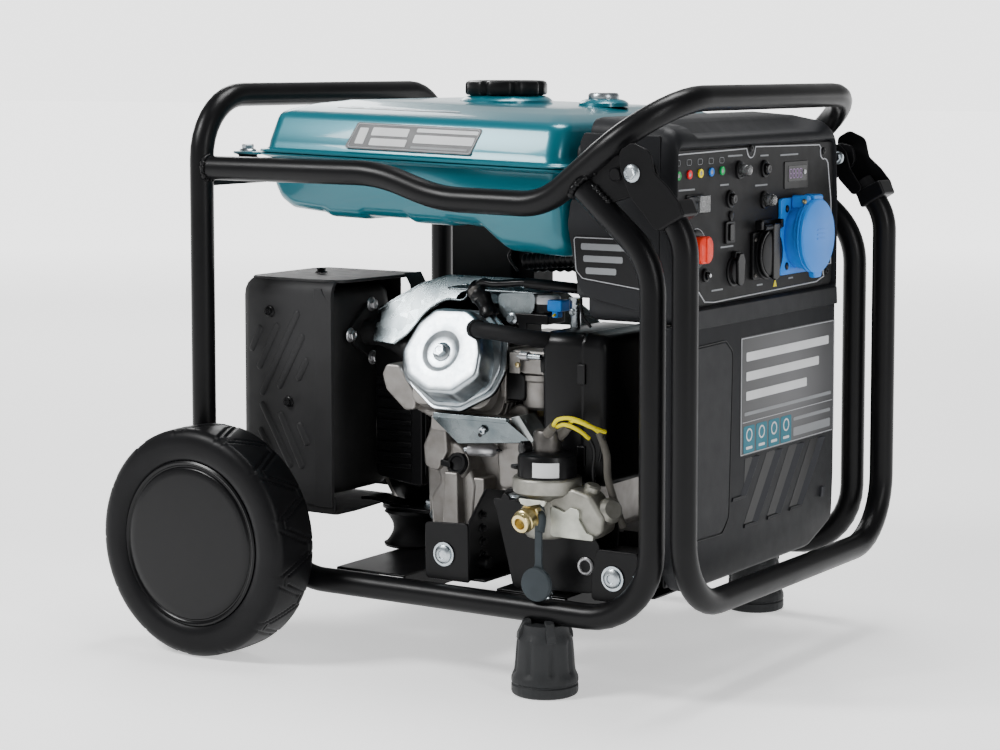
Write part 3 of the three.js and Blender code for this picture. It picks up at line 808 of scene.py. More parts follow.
def wheels():
    for label, side in SIDES:
        body = f"wheel_{label}"
        rubber_ring = loft(f"tyre_{label}_tread", tyre(side), TYRE, body, (False, False), 40)
        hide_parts(f"tyre_{label}")
        profile = [(0, 3), (24, 3), (26, 6), (26, 30), (88, 34), (92, 6), (95.6, 5), (95.8, 66), (95, 69),
                   (93, 70.2), (91, 69.8), (89.6, 68.2), (88.2, 68.2), (86.8, 70.2), (85.6, 70.7), (78, 71),
                   (60, 71.2), (30, 71.6), (0, 71.7)]
        disc = lathe(f"hub_{label}_disc", profile, (WHEEL.x, side * WHEEL_IN, WHEEL.z), (0, side, 0), HUB,
                     body, 96, 40)
        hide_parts(f"hub_{label}")
        for k in range(6):
            angle = math.pi * k / 3
            rib = [(26, -2), (90, -2), (90, 2), (26, 2)]
            turn = [(u * math.cos(angle) - v * math.sin(angle),
                     u * math.sin(angle) + v * math.cos(angle)) for u, v in rib]
            low, high = sorted((side * (WHEEL_IN + 5), side * (WHEEL_IN + 33)))
            prism(f"hub_rib_{label}_{k}", [(WHEEL.x + u, WHEEL.z + v) for u, v in turn], "XZ", low, high,
                  BLACK, body, 0.6)


def axles():
    outline = rounded([(-258, 174), (-260, 130), (-238, 112), (-212, 110), (-192, 118), (-222, 160)],
                      [3, 10, 14, 8, 3, 3])
    for label, side in SIDES:
        y = side * SIDE_Y
        plate = prism(f"axle_plate_{label}", outline, "XZ", y - 3, y + 3, POWDER)
        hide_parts(f"axle_{label}")
        profile = [(0, -15), (9, -15), (10, -14), (10, 50), (8, 52), (0, 52)]
        lathe(f"axle_stub_{label}", profile, (WHEEL.x, y, WHEEL.z), (0, side, 0), ZINC, sides=28)


def feet():
    for label, side in SIDES:
        centre = (187, side * SIDE_Y, 0)

        def ribs(angle, radius, distance):
            if 24 < distance < 62 and radius > 20:
                return radius - 2.2 * max(0, math.cos(angle * 8)) ** 3
            if distance < 20 and radius > 30:
                return radius - 0.5 * max(0, math.cos(angle * 36))
            return radius

        profile = [(0, 0), (33, 0), (35.6, 1.5), (36.5, 4), (36.5, 11), (35.2, 12.2), (35.2, 13.2),
                   (36.5, 14.5), (36.4, 19), (35, 22.5), (33.4, 26), (32.6, 32), (31.8, 44), (30.8, 56),
                   (29.6, 62), (27, 66), (25.5, 72), (25, 77), (0, 77)]
        bell = lathe(f"foot_{label}_bell", profile, centre, "Z", GRIT, sides=96, ripple=ribs)
        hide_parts(f"foot_{label}")
        for k in range(4):
            angle = math.radians(45 + 90 * k)
            place = tilt(math.degrees(angle), "Z", centre[0], centre[1], 0)
            web = rounded([(16, 60), (31, 60), (30, 68), (24, 80), (16, 84)], 2)
            prism(f"foot_web_{label}_{k}", web, "XZ", -5, 5, GRIT, edge=1, place=place)
        screw(f"foot_bolt_{label}", (187, side * (SIDE_Y - 2), 103), (0, 0, 1), 13)


# ---------------------------------------------------------------- fuel tank
TANK_X = (-232.0, 190.0)
TANK_Y = 222.0
SEAM_Z = 570.0
FALL = 0.028


def fallen(x, y, z):
    """The tank slopes slightly down towards the panel end."""
    return (x, y, z - FALL * (x + 20))


def tank_ring(inset_x0, inset_x1, inset_y, z, corner):
    outline = rounded(rectangle(TANK_X[0] + inset_x0, TANK_X[1] - inset_x1, -TANK_Y + inset_y,
                                TANK_Y - inset_y), corner, 9)
    return [fallen(x, y, z) for x, y in outline]


def tank_upper():
    rings = [tank_ring(2, 2, 2, SEAM_Z + 0.3, 24), tank_ring(0, 0, 0, SEAM_Z + 0.8, 26),
             tank_ring(0, 0, 0, SEAM_Z + 2.6, 26), tank_ring(1, 1, 1, SEAM_Z + 3.4, 25),
             tank_ring(7.5, 5, 6.6, SEAM_Z + 4, 20), tank_ring(9.4, 6.4, 8.6, SEAM_Z + 6, 20),
             tank_ring(10.5, 7.4, 10, 584, 20), tank_ring(13.5, 10, 21, 609, 20),
             tank_ring(15, 11.6, 23.6, 613.6, 20), tank_ring(17.6, 14, 27.4, 616.6, 19),
             tank_ring(22, 18, 34, 619.2, 18), tank_ring(38, 32, 60, 625.6, 16),
             tank_ring(44, 38, 68, 627, 15), tank_ring(60, 52, 88, 629.6, 14),
             tank_ring(66, 57, 95, 630.9, 13), tank_ring(76, 66, 106, 631.6, 12),
             tank_ring(110, 96, 150, 632.4, 10)]
    shell = loft("tank_top_shell", rings, TEAL, sharp=50)
    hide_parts("tank_upper")


def tank_lower():
    flange = [tank_ring(10, 9, 10, SEAM_Z - 6, 20), tank_ring(1, 1, 1, SEAM_Z - 3.2, 25),
              tank_ring(0, 0, 0, SEAM_Z - 2.4, 26), tank_ring(0, 0, 0, SEAM_Z - 0.9, 26),
              tank_ring(2, 2, 2, SEAM_Z - 0.3, 24)]
    loft("tank_seam", flange, TEAL, sharp=50)
    side = rounded([(-222, 568), (-218, 530), (-211, 514), (-196, 504), (-150, 501), (-140, 497), (-96, 497),
                    (-88, 501), (-30, 501), (-22, 497), (24, 497), (32, 500), (74, 498), (104, 474),
                    (172, 472), (183, 482), (184, 568)], [2, 30, 18, 18, 8, 8, 8, 8, 8, 8, 8, 8, 14, 14, 14,
                                                          20, 2], 5)
    loops = []
    half = [(0.20, 10), (0.115, 14), (0.06, 19.5), (0.025, 26), (0.008, 34), (0, 44)]
    steps = half + [(share, 2 * TANK_Y - inset) for share, inset in reversed(half)]
    for share, inset in steps:
        y = -TANK_Y + inset
        loop = []
        for x, z in side:
            drop = (SEAM_Z - z) * (1 - share)
            taper = 1 - 0.035 * max(0, drop) / 70
            loop.append(fallen(-19 + (x + 19) * (1 - share * 0.35), y * taper, SEAM_Z - drop))
        loops.append(loop)
    shell = loft("tank_bottom_shell", loops, TEAL, sharp=50)
    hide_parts("tank_lower")


def filler_cap():
    centre = (-22, 0, 0)
    neck = [(0, 628), (56, 628), (55, 634), (51, 637.5), (46, 639.5), (42, 640.2), (0, 640.2)]
    lathe("filler_neck", neck, centre, "Z", TEAL, sides=56)

    def lobes(angle, radius, distance):
        if radius < 36:
            return radius
        return radius - 3.4 * max(0, math.cos(8 * angle)) ** 6

    profile = [(0, 640.4), (46, 640.4), (48, 641.4), (48.8, 643.5), (48.8, 653), (47.6, 656), (44, 657.6),
               (36, 658), (34.5, 656.8), (33, 656.6), (0, 656.6)]
    cap = lathe("filler_cap", profile, centre, "Z", BLACK, "filler_cap", 128, ripple=lobes)
    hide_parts("fuel_cap")
    grip = rounded([(-44, -7), (-18, -7), (-18, 7), (-44, 7)], 4)
    for k in range(3):
        place = tilt(120 * k, "Z", centre[0], centre[1], 0)
        prism(f"cap_rib_{k}", [(u + 44 + 4, v * 0.35) for u, v in grip], "XY", 656, 657.9, BLACK,
              "filler_cap", 0.4, place)


def fuel_gauge():
    centre = (112, 0, 0)
    collar = [(0, 628), (30, 628), (29, 632), (25, 635), (20, 636.5), (0, 636.5)]
    lathe("gauge_boss", collar, centre, "Z", TEAL, sides=48)
    ring = [(0, 634), (17, 634), (18, 636), (18, 641), (16.5, 643.4), (14.5, 643.8), (13.5, 642.4),
            (0, 642.2)]
    rim = lathe("gauge_ring", ring, centre, "Z", ZINC, sides=48)
    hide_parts("fuel_gauge")
    lathe("gauge_glass", [(0, 642), (13.4, 642), (12, 643.4), (0, 644)], centre, "Z", CLEAR, sides=40)
    prism("gauge_needle", [(104, -1), (121, -1), (121, 1), (104, 1)], "XY", 642.3, 642.8, RED, edge=0)


def front_face(x, height, lift):
    """A point on the tank's sloping front face, its height above the seam and its lift off the face."""
    y = -TANK_Y + 10 + 11 * (height - 14) / 25
    return fallen(x, y - lift * 0.915, SEAM_Z + height + lift * 0.40)


def face_plate(name, outline, lift, thick, material, edge=0.2):
    loops = [[front_face(x, height, t) for x, height in outline] for t in (lift, lift + thick)]
    return bevel(loft(name, loops, material), edge, 2)


def tank_labels():
    """Plain dark label plates with bars."""
    outline = rounded([(-104, 9.5), (-93, 39), (77, 38.5), (68, 9.5)], [3, 4, 3, 3])
    face_plate("tank_label", outline, 0.2, 0.7, LABEL_DARK)
    rim = rounded([(-100, 11), (-91, 37.4), (75, 37), (66.6, 11)], [3, 4, 3, 3])
    path = [Vector(front_face(x, height, 1.0)) for x, height in rim]
    sweep("tank_label_line", path + [path[0]], 0.4, SILVER_LINE, sides=6)
    bars = [(-94, -82, 15, 33), (-76, -26, 25, 34), (-74, -24, 14, 22), (-16, 66, 31, 35), (-16, 64, 19, 28),
            (-16, 60, 13, 15.4)]
    for k, (u0, u1, v0, v1) in enumerate(bars):
        bar = rounded([(u0 + v0 * 0.2, v0), (u0 + v1 * 0.2, v1), (u1 + v1 * 0.2, v1), (u1 + v0 * 0.2, v0)],
                      1.2)
        face_plate(f"tank_label_bar_{k}", bar, 0.8, 0.5, WHITE if k < 5 else GREY, 0.1)
    top_strip()


def top_strip():
    """Flat strip on the tank's shoulder near the front edge."""
    outline = rounded([(-150, -172), (-128, -142), (40, -142), (26, -172)], 4)

    def on_top(x, y, lift):
        return fallen(x, y, 622.4 + (y + 172) * 0.165 + lift)

    loops = [[on_top(x, y, lift) for x, y in outline] for lift in (0.0, 1.0)]
    bevel(loft("top_label", loops, LABEL_DARK), 0.2, 2)
    for k, (x0, x1) in enumerate([(-132, -112), (-104, -34), (-26, 20)]):
        bar = rounded([(x0, -166), (x0 + 12, -149), (x1 + 12, -149), (x1, -166)], 2)
        loops = [[on_top(x, y, lift) for x, y in bar] for lift in (0.8, 1.4)]
        loft(f"top_label_bar_{k}", loops, WHITE)


def tank_fixings():
    """Support bar, rubber bushes and bolts that hold the tank flange at the wheel end."""
    outline = [(-288, 535), (-285, 535), (-285, 562), (-262, 562), (-262, 565), (-288, 565)]
    loops = [[(u, y, v) for u, v in outline] for y in (-238, 238)]
    bar = bevel(loft("tank_bar", loops, POWDER), 0.8, 2)
    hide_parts("tank_support_bar")
    for label, y in (("front", -188), ("back", 188)):
        tab = rounded([(-278, y - 16), (-240, y - 22), (-226, y - 26), (-226, y + 26), (-240, y + 22),
                       (-278, y + 16)], [12, 10, 2, 2, 10, 12])
        prism(f"tank_tab_{label}", tab, "XY", 572, 575, TEAL, edge=0.8)
        bush = [(0, 564), (14, 564), (15, 566), (11, 568.5), (11, 570), (15, 572), (0, 572)]
        lathe(f"tank_bush_{label}", bush, (-264, y, 0), "Z", RUBBER, sides=32)
        flange_bolt(f"tank_bolt_{label}", (-264, y, 575), (0, 0, 1), 20)


# ---------------------------------------------------------------- panel housing
FACE_X = 318.0
PLATE_X = 314.0
KNOB_Y, KNOB_Z = -148.0, 479.0


def housing_ring(x, sides, bottom, top, dip, radius):
    """One section of the housing front: sides and bottom are insets, top is the shoulders' height and dip
    that of the hand recess between them."""
    outline = rounded([(-200 + sides, 400 + bottom), (200 - sides, 400 + bottom), (200 - sides, 520),
                       (194 - sides, top), (166, top), (152, dip), (-142, dip), (-154, top),
                       (-198 + sides, top), (-200 + sides, 520)], [radius, radius, 40, radius, 0, 0, 0, 0,
                                                                   radius, 40], 7)
    return [(x, y, z) for y, z in outline]


def panel_fascia():
    rings = [housing_ring(205, 12, 2, 612, 612, 12), housing_ring(209, 7, 0.6, 619, 619, 16),
             housing_ring(215, 5.6, 0, 620.5, 620.5, 18), housing_ring(268, 5.6, 0, 617, 617, 18),
             housing_ring(273, 5.6, 0, 616, 613, 18), housing_ring(284, 5.6, 0, 614, 602, 18),
             housing_ring(297.9, 5.6, 0, 611.6, 600, 18), housing_ring(298.2, 0.4, 0, 611.5, 600, 18),
             housing_ring(306, 0.4, 0, 608.6, 599.4, 17), housing_ring(313, 0.8, 0.6, 602.6, 598.6, 16),
             housing_ring(316.6, 1.6, 1.6, 597.4, 596.8, 15), housing_ring(FACE_X, 2.6, 4, 593.5, 593, 13),
             housing_ring(FACE_X - 0.2, 3.2, 14, 589.8, 589.6, 8), housing_ring(FACE_X - 1.4, 3.6, 15, 588.6,
                                                                                588.4, 7),
             housing_ring(310.5, 4, 16, 587.6, 587.4, 6)]
    shell = loft("fascia_shell", rings, CHARCOAL, sharp=40)
    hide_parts("panel_fascia")
    chin = rounded([(-196, 393), (-186, 414), (196, 414), (198, 393)], 2)
    prism("fascia_chin", chin, "YZ", 312, 320, CHARCOAL, edge=1.6)


def side_plates():
    """Cheeks of the housing: upper part with its label recess, lower part back to the engine side."""
    upper = [(184, 505), (188, 530), (200, 540), (200, 594), (205, 604), (297.7, 602), (297.7, 411),
             (270, 415), (208, 427), (197, 438)]
    for label, side in SIDES:
        low, high = sorted((side * 195.3, side * 200))
        outline = rounded(upper, [18, 10, 3, 2, 4, 2, 2, 6, 10, 12])
        plate = prism(f"cheek_{label}", outline, "XZ", low, high, CHARCOAL, edge=1.4)
        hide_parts(f"housing_side_{label}")
        flange = rounded(rectangle(292, 297.6, 118, 400), 1)
        prism(f"cheek_lower_{label}", flange, "XZ", low, high, CHARCOAL, edge=1)
        label_outline = rounded([(191, 493), (288, 493), (288, 434), (271, 437), (203, 445), (194, 454)],
                                [4, 2, 2, 4, 6, 8])
        face_low, face_high = sorted((side * 199.8, side * 200.5))
        prism(f"cheek_label_{label}", label_outline, "XZ", face_low, face_high, PANEL_SKIN, edge=0.1)
        rim = [Vector((x, side * 200.6, z)) for x, z in rounded([(193, 491), (286, 491), (286, 436),
                                                                 (271, 439), (204, 447), (196, 455)],
                                                                [3, 2, 2, 4, 5, 7])]
        sweep(f"cheek_label_rim_{label}", rim + [rim[0]], 0.5, SILVER_LINE, sides=6)
        for k in range(3):
            u0, u1, v = 202 + 3 * k, 262 - 8 * k, 478 - 13 * k
            bar = rounded(rectangle(u0, u1, v, v + 7), 2)
            bar_low, bar_high = sorted((side * 200.3, side * 200.9))
            prism(f"cheek_bar_{label}_{k}", bar, "XZ", bar_low, bar_high, GREY, edge=0.1)


def housing_back():
    """The rear shell of the control housing, above the air box and under the tank."""
    outline = rounded([(-194, 424), (194, 424), (194, 590), (150, 598), (-150, 598), (-194, 590)], 10)
    prism("housing_rear", outline, "YZ", 192, 212, GRIT, edge=3)
    low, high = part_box("inverter_module")
    module = block("inverter_case", (low.x / MM + 12, high.x / MM), (low.y / MM, high.y / MM),
                   (low.z / MM, high.z / MM), CAST, edge=2)
    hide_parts("inverter_module")
    count = 20
    for k in range(count):
        y = low.y / MM + 6 + k * (high.y / MM - low.y / MM - 12) / (count - 1)
        block(f"inverter_fin_{k}", (low.x / MM, low.x / MM + 14), (y - 1.2, y + 1.2),
              (low.z / MM + 6, high.z / MM - 6), CAST, edge=0.5)


def arc_notch(centre, radius, start, end, steps=8):
    """Points along an arc in the panel's plane, angles in degrees."""
    angles = [math.radians(start + (end - start) * k / steps) for k in range(steps + 1)]
    return [(centre[0] + radius * math.cos(a), centre[1] + radius * math.sin(a)) for a in angles]


def control_plate():
    outline = rounded([(-194.5, 446), (-178, 418), (192, 418), (192, 586), (-194.5, 586)], [6, 8, 8, 8, 8])
    plate = prism("control_face", outline, "YZ", 310.6, PLATE_X, PANEL_SKIN, edge=0.6)
    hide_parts("control_plate")
    line = [(-196.4, 564), (-195.4, 569), (-191.5, 576), (-190.8, 580), (-188, 582)]
    line += [(-32, 584)] + arc_notch((-21, 583), 9.5, 200, 340) + [(-10, 585.4), (154, 583)]
    line += arc_notch((166, 575), 9, 150, 290) + [(174, 565), (178, 561), (187, 518), (188.4, 500),
                                                  (188.4, 441)]
    line += arc_notch((177, 433), 9, 70, 220) + [(163, 426), (150, 422.6), (-106, 419), (-128, 421),
                                                 (-150, 440)]
    path = [Vector((PLATE_X + 0.1, y, z)) for y, z in line]
    sweep("control_outline", path, 0.75, SILVER_LINE, sides=8)
    for k, (y, z) in enumerate([(-21, 584), (166, 575.5), (177, 433)]):
        screw(f"control_screw_{k}", (PLATE_X - 1, y, z), (1, 0, 0), 9, BLACK)
    marks = [(-188, 552, 36), (-94, 554, 20), (-76, 585, 34), (2, 583, 20), (52, 582, 46), (74, 571, 14),
             (-10, 550, 30), (-92, 486, 30), (-4, 438, 14), (76, 440, 12), (-112, 440, 26)]
    for k, (y, z, width) in enumerate(marks):
        dash = rounded(rectangle(y, y + width, z - 9, z - 7.2), 0.8)
        prism(f"print_dash_{k}", dash, "YZ", PLATE_X, PLATE_X + 0.35, GREY, edge=0)
    warning = [(37, 425), (46, 425), (41.5, 434)]
    prism("print_triangle", warning, "YZ", PLATE_X, PLATE_X + 0.4, YELLOW, edge=0)


def indicator_lamps():
    colors = [("green", (0.0, 0.30, 0.06)), ("red", (0.75, 0.01, 0.015)), ("yellow", (0.85, 0.68, 0.0)),
              ("blue", (0.01, 0.16, 0.60)), ("mint", (0.0, 0.33, 0.08))]
    for k, (label, color) in enumerate(colors):
        centre = (PLATE_X, -189.6 + 24.8 * k, 559.6 + 0.5 * k)
        collar = [(2.5, 0.6), (2.5, 1.6), (3.0, 2.0), (4.4, 2.0), (4.8, 1.6), (4.8, 0)]
        lathe(f"lamp_collar_{label}", collar, centre, "X", smooth_plastic(f"lamp_{label}", color, 0.4),
              sides=28)
        lens = [(0, 0), (2.6, 0), (2.5, 1.4), (1.6, 2.1), (0, 2.3)]
        lathe(f"lamp_lens_{label}", lens, centre, "X", GREY_LENS, sides=20)
        symbol = rounded(rectangle(centre[1] - 5, centre[1] + 5, 570, 576), 2)
        path = [Vector((PLATE_X + 0.1, y, z)) for y, z in symbol]
        sweep(f"lamp_symbol_{label}", path + [path[0]], 0.3, GREY, sides=6)


def round_button(node_name, body, radius, clear=False):
    """A push button with a collar on the panel and, for the breakers, a clear rubber boot."""
    low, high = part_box(node_name)
    y, z = (low.y + high.y) / 2 / MM, (low.z + high.z) / 2 / MM
    collar = [(radius - 1.6, -0.5), (radius - 1.6, 2.4), (radius - 0.4, 3.2), (radius + 1.6, 2.6),
              (radius + 2, 0)]
    lathe(f"{body}_collar", [(0, -0.5)] + collar, (PLATE_X, y, z), "X", BLACK, sides=36)
    girth = radius - (2.4 if clear else 1.9)
    push = [(0, 2.1), (girth, 2.1), (girth, 5.4), (radius - 3.2, 7), (radius * 0.4, 7.2), (0, 6.4)]
    thing = lathe(f"{body}_push", push, (PLATE_X, y, z), "X", SHINY, body, 36)
    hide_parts(node_name)
    if not clear:
        return
    boot = [(radius - 1.7, 2.3), (radius - 1.7, 5), (radius - 1.8, 6), (radius - 2, 12), (radius - 3, 14),
            (0, 14.4)]

    def ribs(angle, r, distance):
        return r + 0.35 * math.cos(14 * angle) if 5.5 < distance < 13 else r

    lathe(f"{body}_boot", [(0, 2.3)] + boot, (PLATE_X, y, z), "X", CLEAR, body, 56, ripple=ribs)


def buttons():
    round_button("dc_breaker_button", "dc_breaker", 8.4, clear=True)
    round_button("ac_breaker_button", "ac_breaker", 8.4, clear=True)
    round_button("ac_reset_button", "ac_reset", 8)
    round_button("lpg_reset_button", "lpg_reset", 8)
    round_button("start_button", "start", 5.6)
    lathe("start_dot", [(0, 0), (2.2, 0), (2, 0.6), (0, 0.8)], (PLATE_X + 7, -128, 450), "X", WHITE, "start",
          16)


def display():
    frame_outline = rounded(rectangle(62, 123, 534.5, 566), 2)
    prism("display_bezel", frame_outline, "YZ", 312, 315, BLACK, edge=0.6)
    glass = rounded(rectangle(71, 119, 543, 561), 1.2)
    prism("display_glass", glass, "YZ", 314.6, 315.4, SHINY, edge=0.2)
    # Unlit segments get a faint emission: a painted glow.
    faint_glow = glow("segment_painted_glow", (0.20, 0.09, 0.26), 0.08)
    bars = {"h": (-2.3, 2.3, -0.5, 0.5), "v": (-0.5, 0.5, -2.0, 2.0)}
    places = [("h", 0, 5), ("h", 0, 0), ("h", 0, -5), ("v", -2.8, 2.5), ("v", 2.8, 2.5), ("v", -2.8, -2.5),
              ("v", 2.8, -2.5)]
    for digit in range(4):
        for k, (kind, dy, dz) in enumerate(places):
            y = 77 + 8.6 * digit + dy
            z = 552 + dz
            u0, u1, v0, v1 = bars[kind]
            outline = rectangle(y + u0, y + u1, z + v0, z + v1)
            prism(f"segment_{digit}_{k}", outline, "YZ", 315.4, 315.6, faint_glow, edge=0)
    lathe("display_lamp", [(0, 0), (2.8, 0), (2.6, 1.6), (0, 2)], (315, 113, 553), "X", WHITE, sides=20)


def rocker_switch():
    low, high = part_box("economy_rocker")
    y0, y1, z0, z1 = low.y / MM, high.y / MM, low.z / MM, high.z / MM
    for name in ("control_face", "fascia_shell"):
        carve(bpy.data.objects[name], (300, PLATE_X + 1), (y0 - 1.4, y1 + 1.4), (z0 - 0.8, z1 + 0.8))
    outer = rounded(rectangle(y0 - 2, y1 + 2, z0 - 2.4, z1 + 2.4), 2)
    bezel = prism("rocker_bezel", outer, "YZ", PLATE_X - 1, PLATE_X + 1.8, BLACK, edge=0.7)
    carve(bezel, (300, PLATE_X + 3), (y0 - 0.7, y1 + 0.7), (z0 - 0.6, z1 + 0.6))
    depth = high.x / MM
    middle = (y0 + y1) / 2
    profile = [(y0, PLATE_X + 1), (y1, PLATE_X + 1), (y1, depth), (middle, depth - 2.4), (y0, depth - 0.6)]
    loops = [[(x, y, z) for y, x in profile] for z in (z0, z1)]
    rocker = bevel(loft("rocker_paddle", loops, GREY_PADDLE, "rocker"), 0.6, 2)
    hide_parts("economy_rocker")
    hood = rounded(rectangle(middle - 4, y1 + 2, z0 - 1.4, z1 + 1.4), 2)
    prism("rocker_hood", hood, "YZ", PLATE_X + 2, depth + 3.4, CLEAR, edge=1)
    height = (z0 + z1) / 2
    ring = [Vector((depth - 0.6, middle + 8 + 3 * math.cos(k * math.pi / 8),
                    height + 3 * math.sin(k * math.pi / 8))) for k in range(17)]
    sweep("rocker_mark_off", ring, 0.4, WHITE, "rocker", 6)
    mark = rectangle(y0 + 5, y0 + 9, height - 0.5, height + 0.5)
    prism("rocker_mark_on", mark, "YZ", depth - 1.6, depth - 0.4, WHITE, "rocker", 0)


def engine_switch():
    centre = (PLATE_X, KNOB_Y, KNOB_Z)
    escutcheon = [(0, 0), (21, 0), (21, 1.2), (19.5, 1.8), (17, 1.8)]
    lathe("knob_plate", escutcheon + [(0, 1.8)], centre, "X", BLACK, sides=48)

    def waist(angle, radius, distance):
        return radius * (0.93 + 0.07 * math.cos(4 * angle)) if radius > 12 else radius

    profile = [(0, 2), (16.4, 2), (17, 3), (17.2, 10), (16.6, 12.6), (14.6, 14), (0, 14.2)]
    knob = lathe("knob_body", profile, centre, "X", RED, "switch_knob", 64, ripple=waist)
    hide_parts("engine_switch_knob")
    ridge = rounded(rectangle(KNOB_Y - 3.5, KNOB_Y + 3.5, KNOB_Z - 14, KNOB_Z + 14), 3)
    prism("knob_ridge", ridge, "YZ", PLATE_X + 13.6, PLATE_X + 15.8, RED, "switch_knob", 1.2)
    arc = arc_notch((KNOB_Y, KNOB_Z), 22.5, 100, 10, 14)
    sweep("knob_scale", [Vector((PLATE_X + 0.2, y, z)) for y, z in arc], 0.5, SILVER_LINE, sides=6)


def small_covers():
    """Rubber covers of the charging port and the 12 volt outlet."""
    lathe("usb_tab", [(0, 0), (5, 0), (4.8, 2), (3.4, 2.6), (0, 2.8)], (PLATE_X, -69, 512), "X", BLACK,
          sides=24)
    usb = rounded(rectangle(-84, -62, 481, 506), 3)
    prism("usb_cover", usb, "YZ", PLATE_X, PLATE_X + 3, BLACK, edge=1.2)
    prism("usb_rib", rounded(rectangle(-78, -68, 484, 503), 2.5), "YZ", PLATE_X + 3, PLATE_X + 5, SHINY,
          edge=1)
    prism("usb_link", rounded(rectangle(-71.5, -66.5, 502, 512), 1), "YZ", PLATE_X, PLATE_X + 2, BLACK,
          edge=0.6)
    centre = (PLATE_X, -61, 450)
    lathe("outlet_12v", [(0, 0), (17, 0), (17, 1.6), (15, 2.4), (14, 6), (11.5, 7), (0, 7.2)], centre, "X",
          BLACK)
    flap = rounded([(-66, 434), (-52, 434), (-49, 462), (-54, 470), (-63, 470), (-68, 462)],
                   [6, 6, 4, 3, 3, 4])
    prism("outlet_12v_flap", flap, "YZ", PLATE_X + 6, PLATE_X + 9.5, SHINY, edge=1.4)
    prism("outlet_12v_hinge", rounded(rectangle(-67, -55, 464, 472), 2), "YZ", PLATE_X, PLATE_X + 6, BLACK,
          edge=1)


def schuko_socket():
    y, z = 10.0, 465.0
    outline = rounded([(y - 32, 437), (y + 32, 437), (y + 32, 503), (y - 12, 503), (y - 12, 490),
                       (y - 32, 490)], [3, 3, 3, 2, 1, 2])
    base = prism("schuko_frame", outline, "YZ", PLATE_X + 0.3, 318.6, BLACK, edge=1.2)
    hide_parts("schuko_base")
    well = [(0, 0), (29, 0), (29, 2.6), (27.6, 3.2), (25, 3.2), (25, 0.6), (0, 0.6)]
    lathe("schuko_well", well, (318.4, y, z), "X", BLACK, sides=56)
    for dz in (-1, 1):
        screw(f"schuko_screw_{dz}", (318.6, y - 27, z - 3 + 20 * dz), (1, 0, 0), 5, STEEL_DARK)
    lathe("schuko_barrel", [(0, 0), (3.4, 0), (3.4, 40), (0, 40)], (325.5, y - 20, 495), "Y", BLACK,
          sides=24)
    for k in (-1, 1):
        block(f"schuko_lug_{k}", (318, 327), (y + k * 25 - 3, y + k * 25 + 3), (493, 503), BLACK, edge=1.5)
        lathe(f"schuko_pin_{k}", [(0, 0), (2.4, 0), (2.4, 2.4), (0, 2.4)], (319, y + 9.5 * k, z), "X", BRASS,
              sides=16)
    angles = [2 * math.pi * k / 64 for k in range(64)]
    lid_shape = [(y + 28 * math.cos(a), z + 28 * math.sin(a)) for a in angles]
    lid = prism("schuko_lid_plate", lid_shape, "YZ", 322.4, 326.2, SHINY, "schuko_cover", 1.4)
    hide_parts("schuko_lid")
    rib = rounded([(y - 3, 438), (y + 6, 434), (y + 14, 438), (y + 14, 499), (y - 3, 499)], [2, 5, 2, 3, 3])
    prism("schuko_lid_rib", rib, "YZ", 325.5, 329.5, SHINY, "schuko_cover", 1.4)
    dome = [(0, 0), (25, 0), (24.4, 1.4), (20, 2.2), (0, 2.6)]
    lathe("schuko_lid_dome", dome, (325.6, y, z), "X", BLACK, "schuko_cover", 56)


def cee_socket():
    y, z = 91.0, 481.0
    plate = rounded(rectangle(y - 44, y + 44, 437, 525), 4)
    flange = prism("cee_flange", plate, "YZ", PLATE_X + 0.3, 318.6, BLUE, edge=1.2)
    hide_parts("cee_base")
    barrel = [(0, 318), (36, 318), (38.4, 322), (38.8, 332), (41, 333), (41, 336), (37, 336), (35, 335),
              (35, 321), (0, 321)]
    lathe("cee_barrel", barrel, (0, y, z), "X", BLUE, sides=72)
    for k, (u, v) in enumerate([(62, 512.6), (62, 447), (121, 447), (121, 513)]):
        # The black wells round the screws paint the shade in their recesses.
        well = [(0, 0), (4.4, 0), (4.4, 0.5), (3.4, 0.7), (0, 0.7)]
        lathe(f"cee_screw_well_{k}", well, (318.6, u, v), "X", BLACK, sides=24)
        screw(f"cee_screw_{k}", (318.9, u, v), (1, 0, 0), 5, STEEL_DARK)
    for side in (-1, 1):
        block(f"cee_hinge_{side}", (319, 341), (y + side * 16 - 5, y + side * 16 + 5), (512, 528), BLUE,
              edge=3)
        lathe(f"cee_hinge_pin_{side}", [(0, 0), (3, 0), (3, 1.2), (1.2, 1.8), (0, 1)],
              (336.5, y + side * 20.8, 521), (0, side, 0), BRASS, sides=20)
    block("cee_hinge_bridge", (319, 334), (y - 20, y + 20), (514, 525), BLUE, edge=2.4)
    for k, (dy, dz) in enumerate([(12, 0), (-6, 10.4), (-6, -10.4)]):
        lathe(f"cee_contact_{k}", [(0, 0), (2.6, 0), (2.6, 10), (0, 10)], (321, y + dy, z + dz), "X", BRASS,
              sides=16)
    cap = [(0, 336.4), (41, 336.4), (42.6, 337), (43, 338.6), (42, 339.4), (42, 340.2), (43, 341),
           (43, 343.6), (41.6, 345.2), (38.6, 345.9), (0, 346.1)]
    lid = lathe("cee_cap", cap, (0, y, z), "X", BLUE, "cee_cover", 80)
    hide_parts("cee_lid")
    tongue = rounded(rectangle(y - 10, y + 10, 500, 528), 3)
    prism("cee_cap_tongue", tongue, "YZ", 337, 343.6, BLUE, "cee_cover", 2)
    latch = rounded([(y - 13, 445), (y + 13, 445), (y + 9, 433), (y - 9, 433)], [2, 2, 4, 4])
    prism("cee_cap_latch", latch, "YZ", 337, 344.6, BLUE, "cee_cover", 1.8)
    for k in range(3):
        bar = rounded(rectangle(y - 6, y + 14, 487 - 5 * k, 488.6 - 5 * k), 0.7)
        prism(f"cee_cap_bar_{k}", bar, "YZ", 346.0, 346.5, BLUE, "cee_cover", 0)


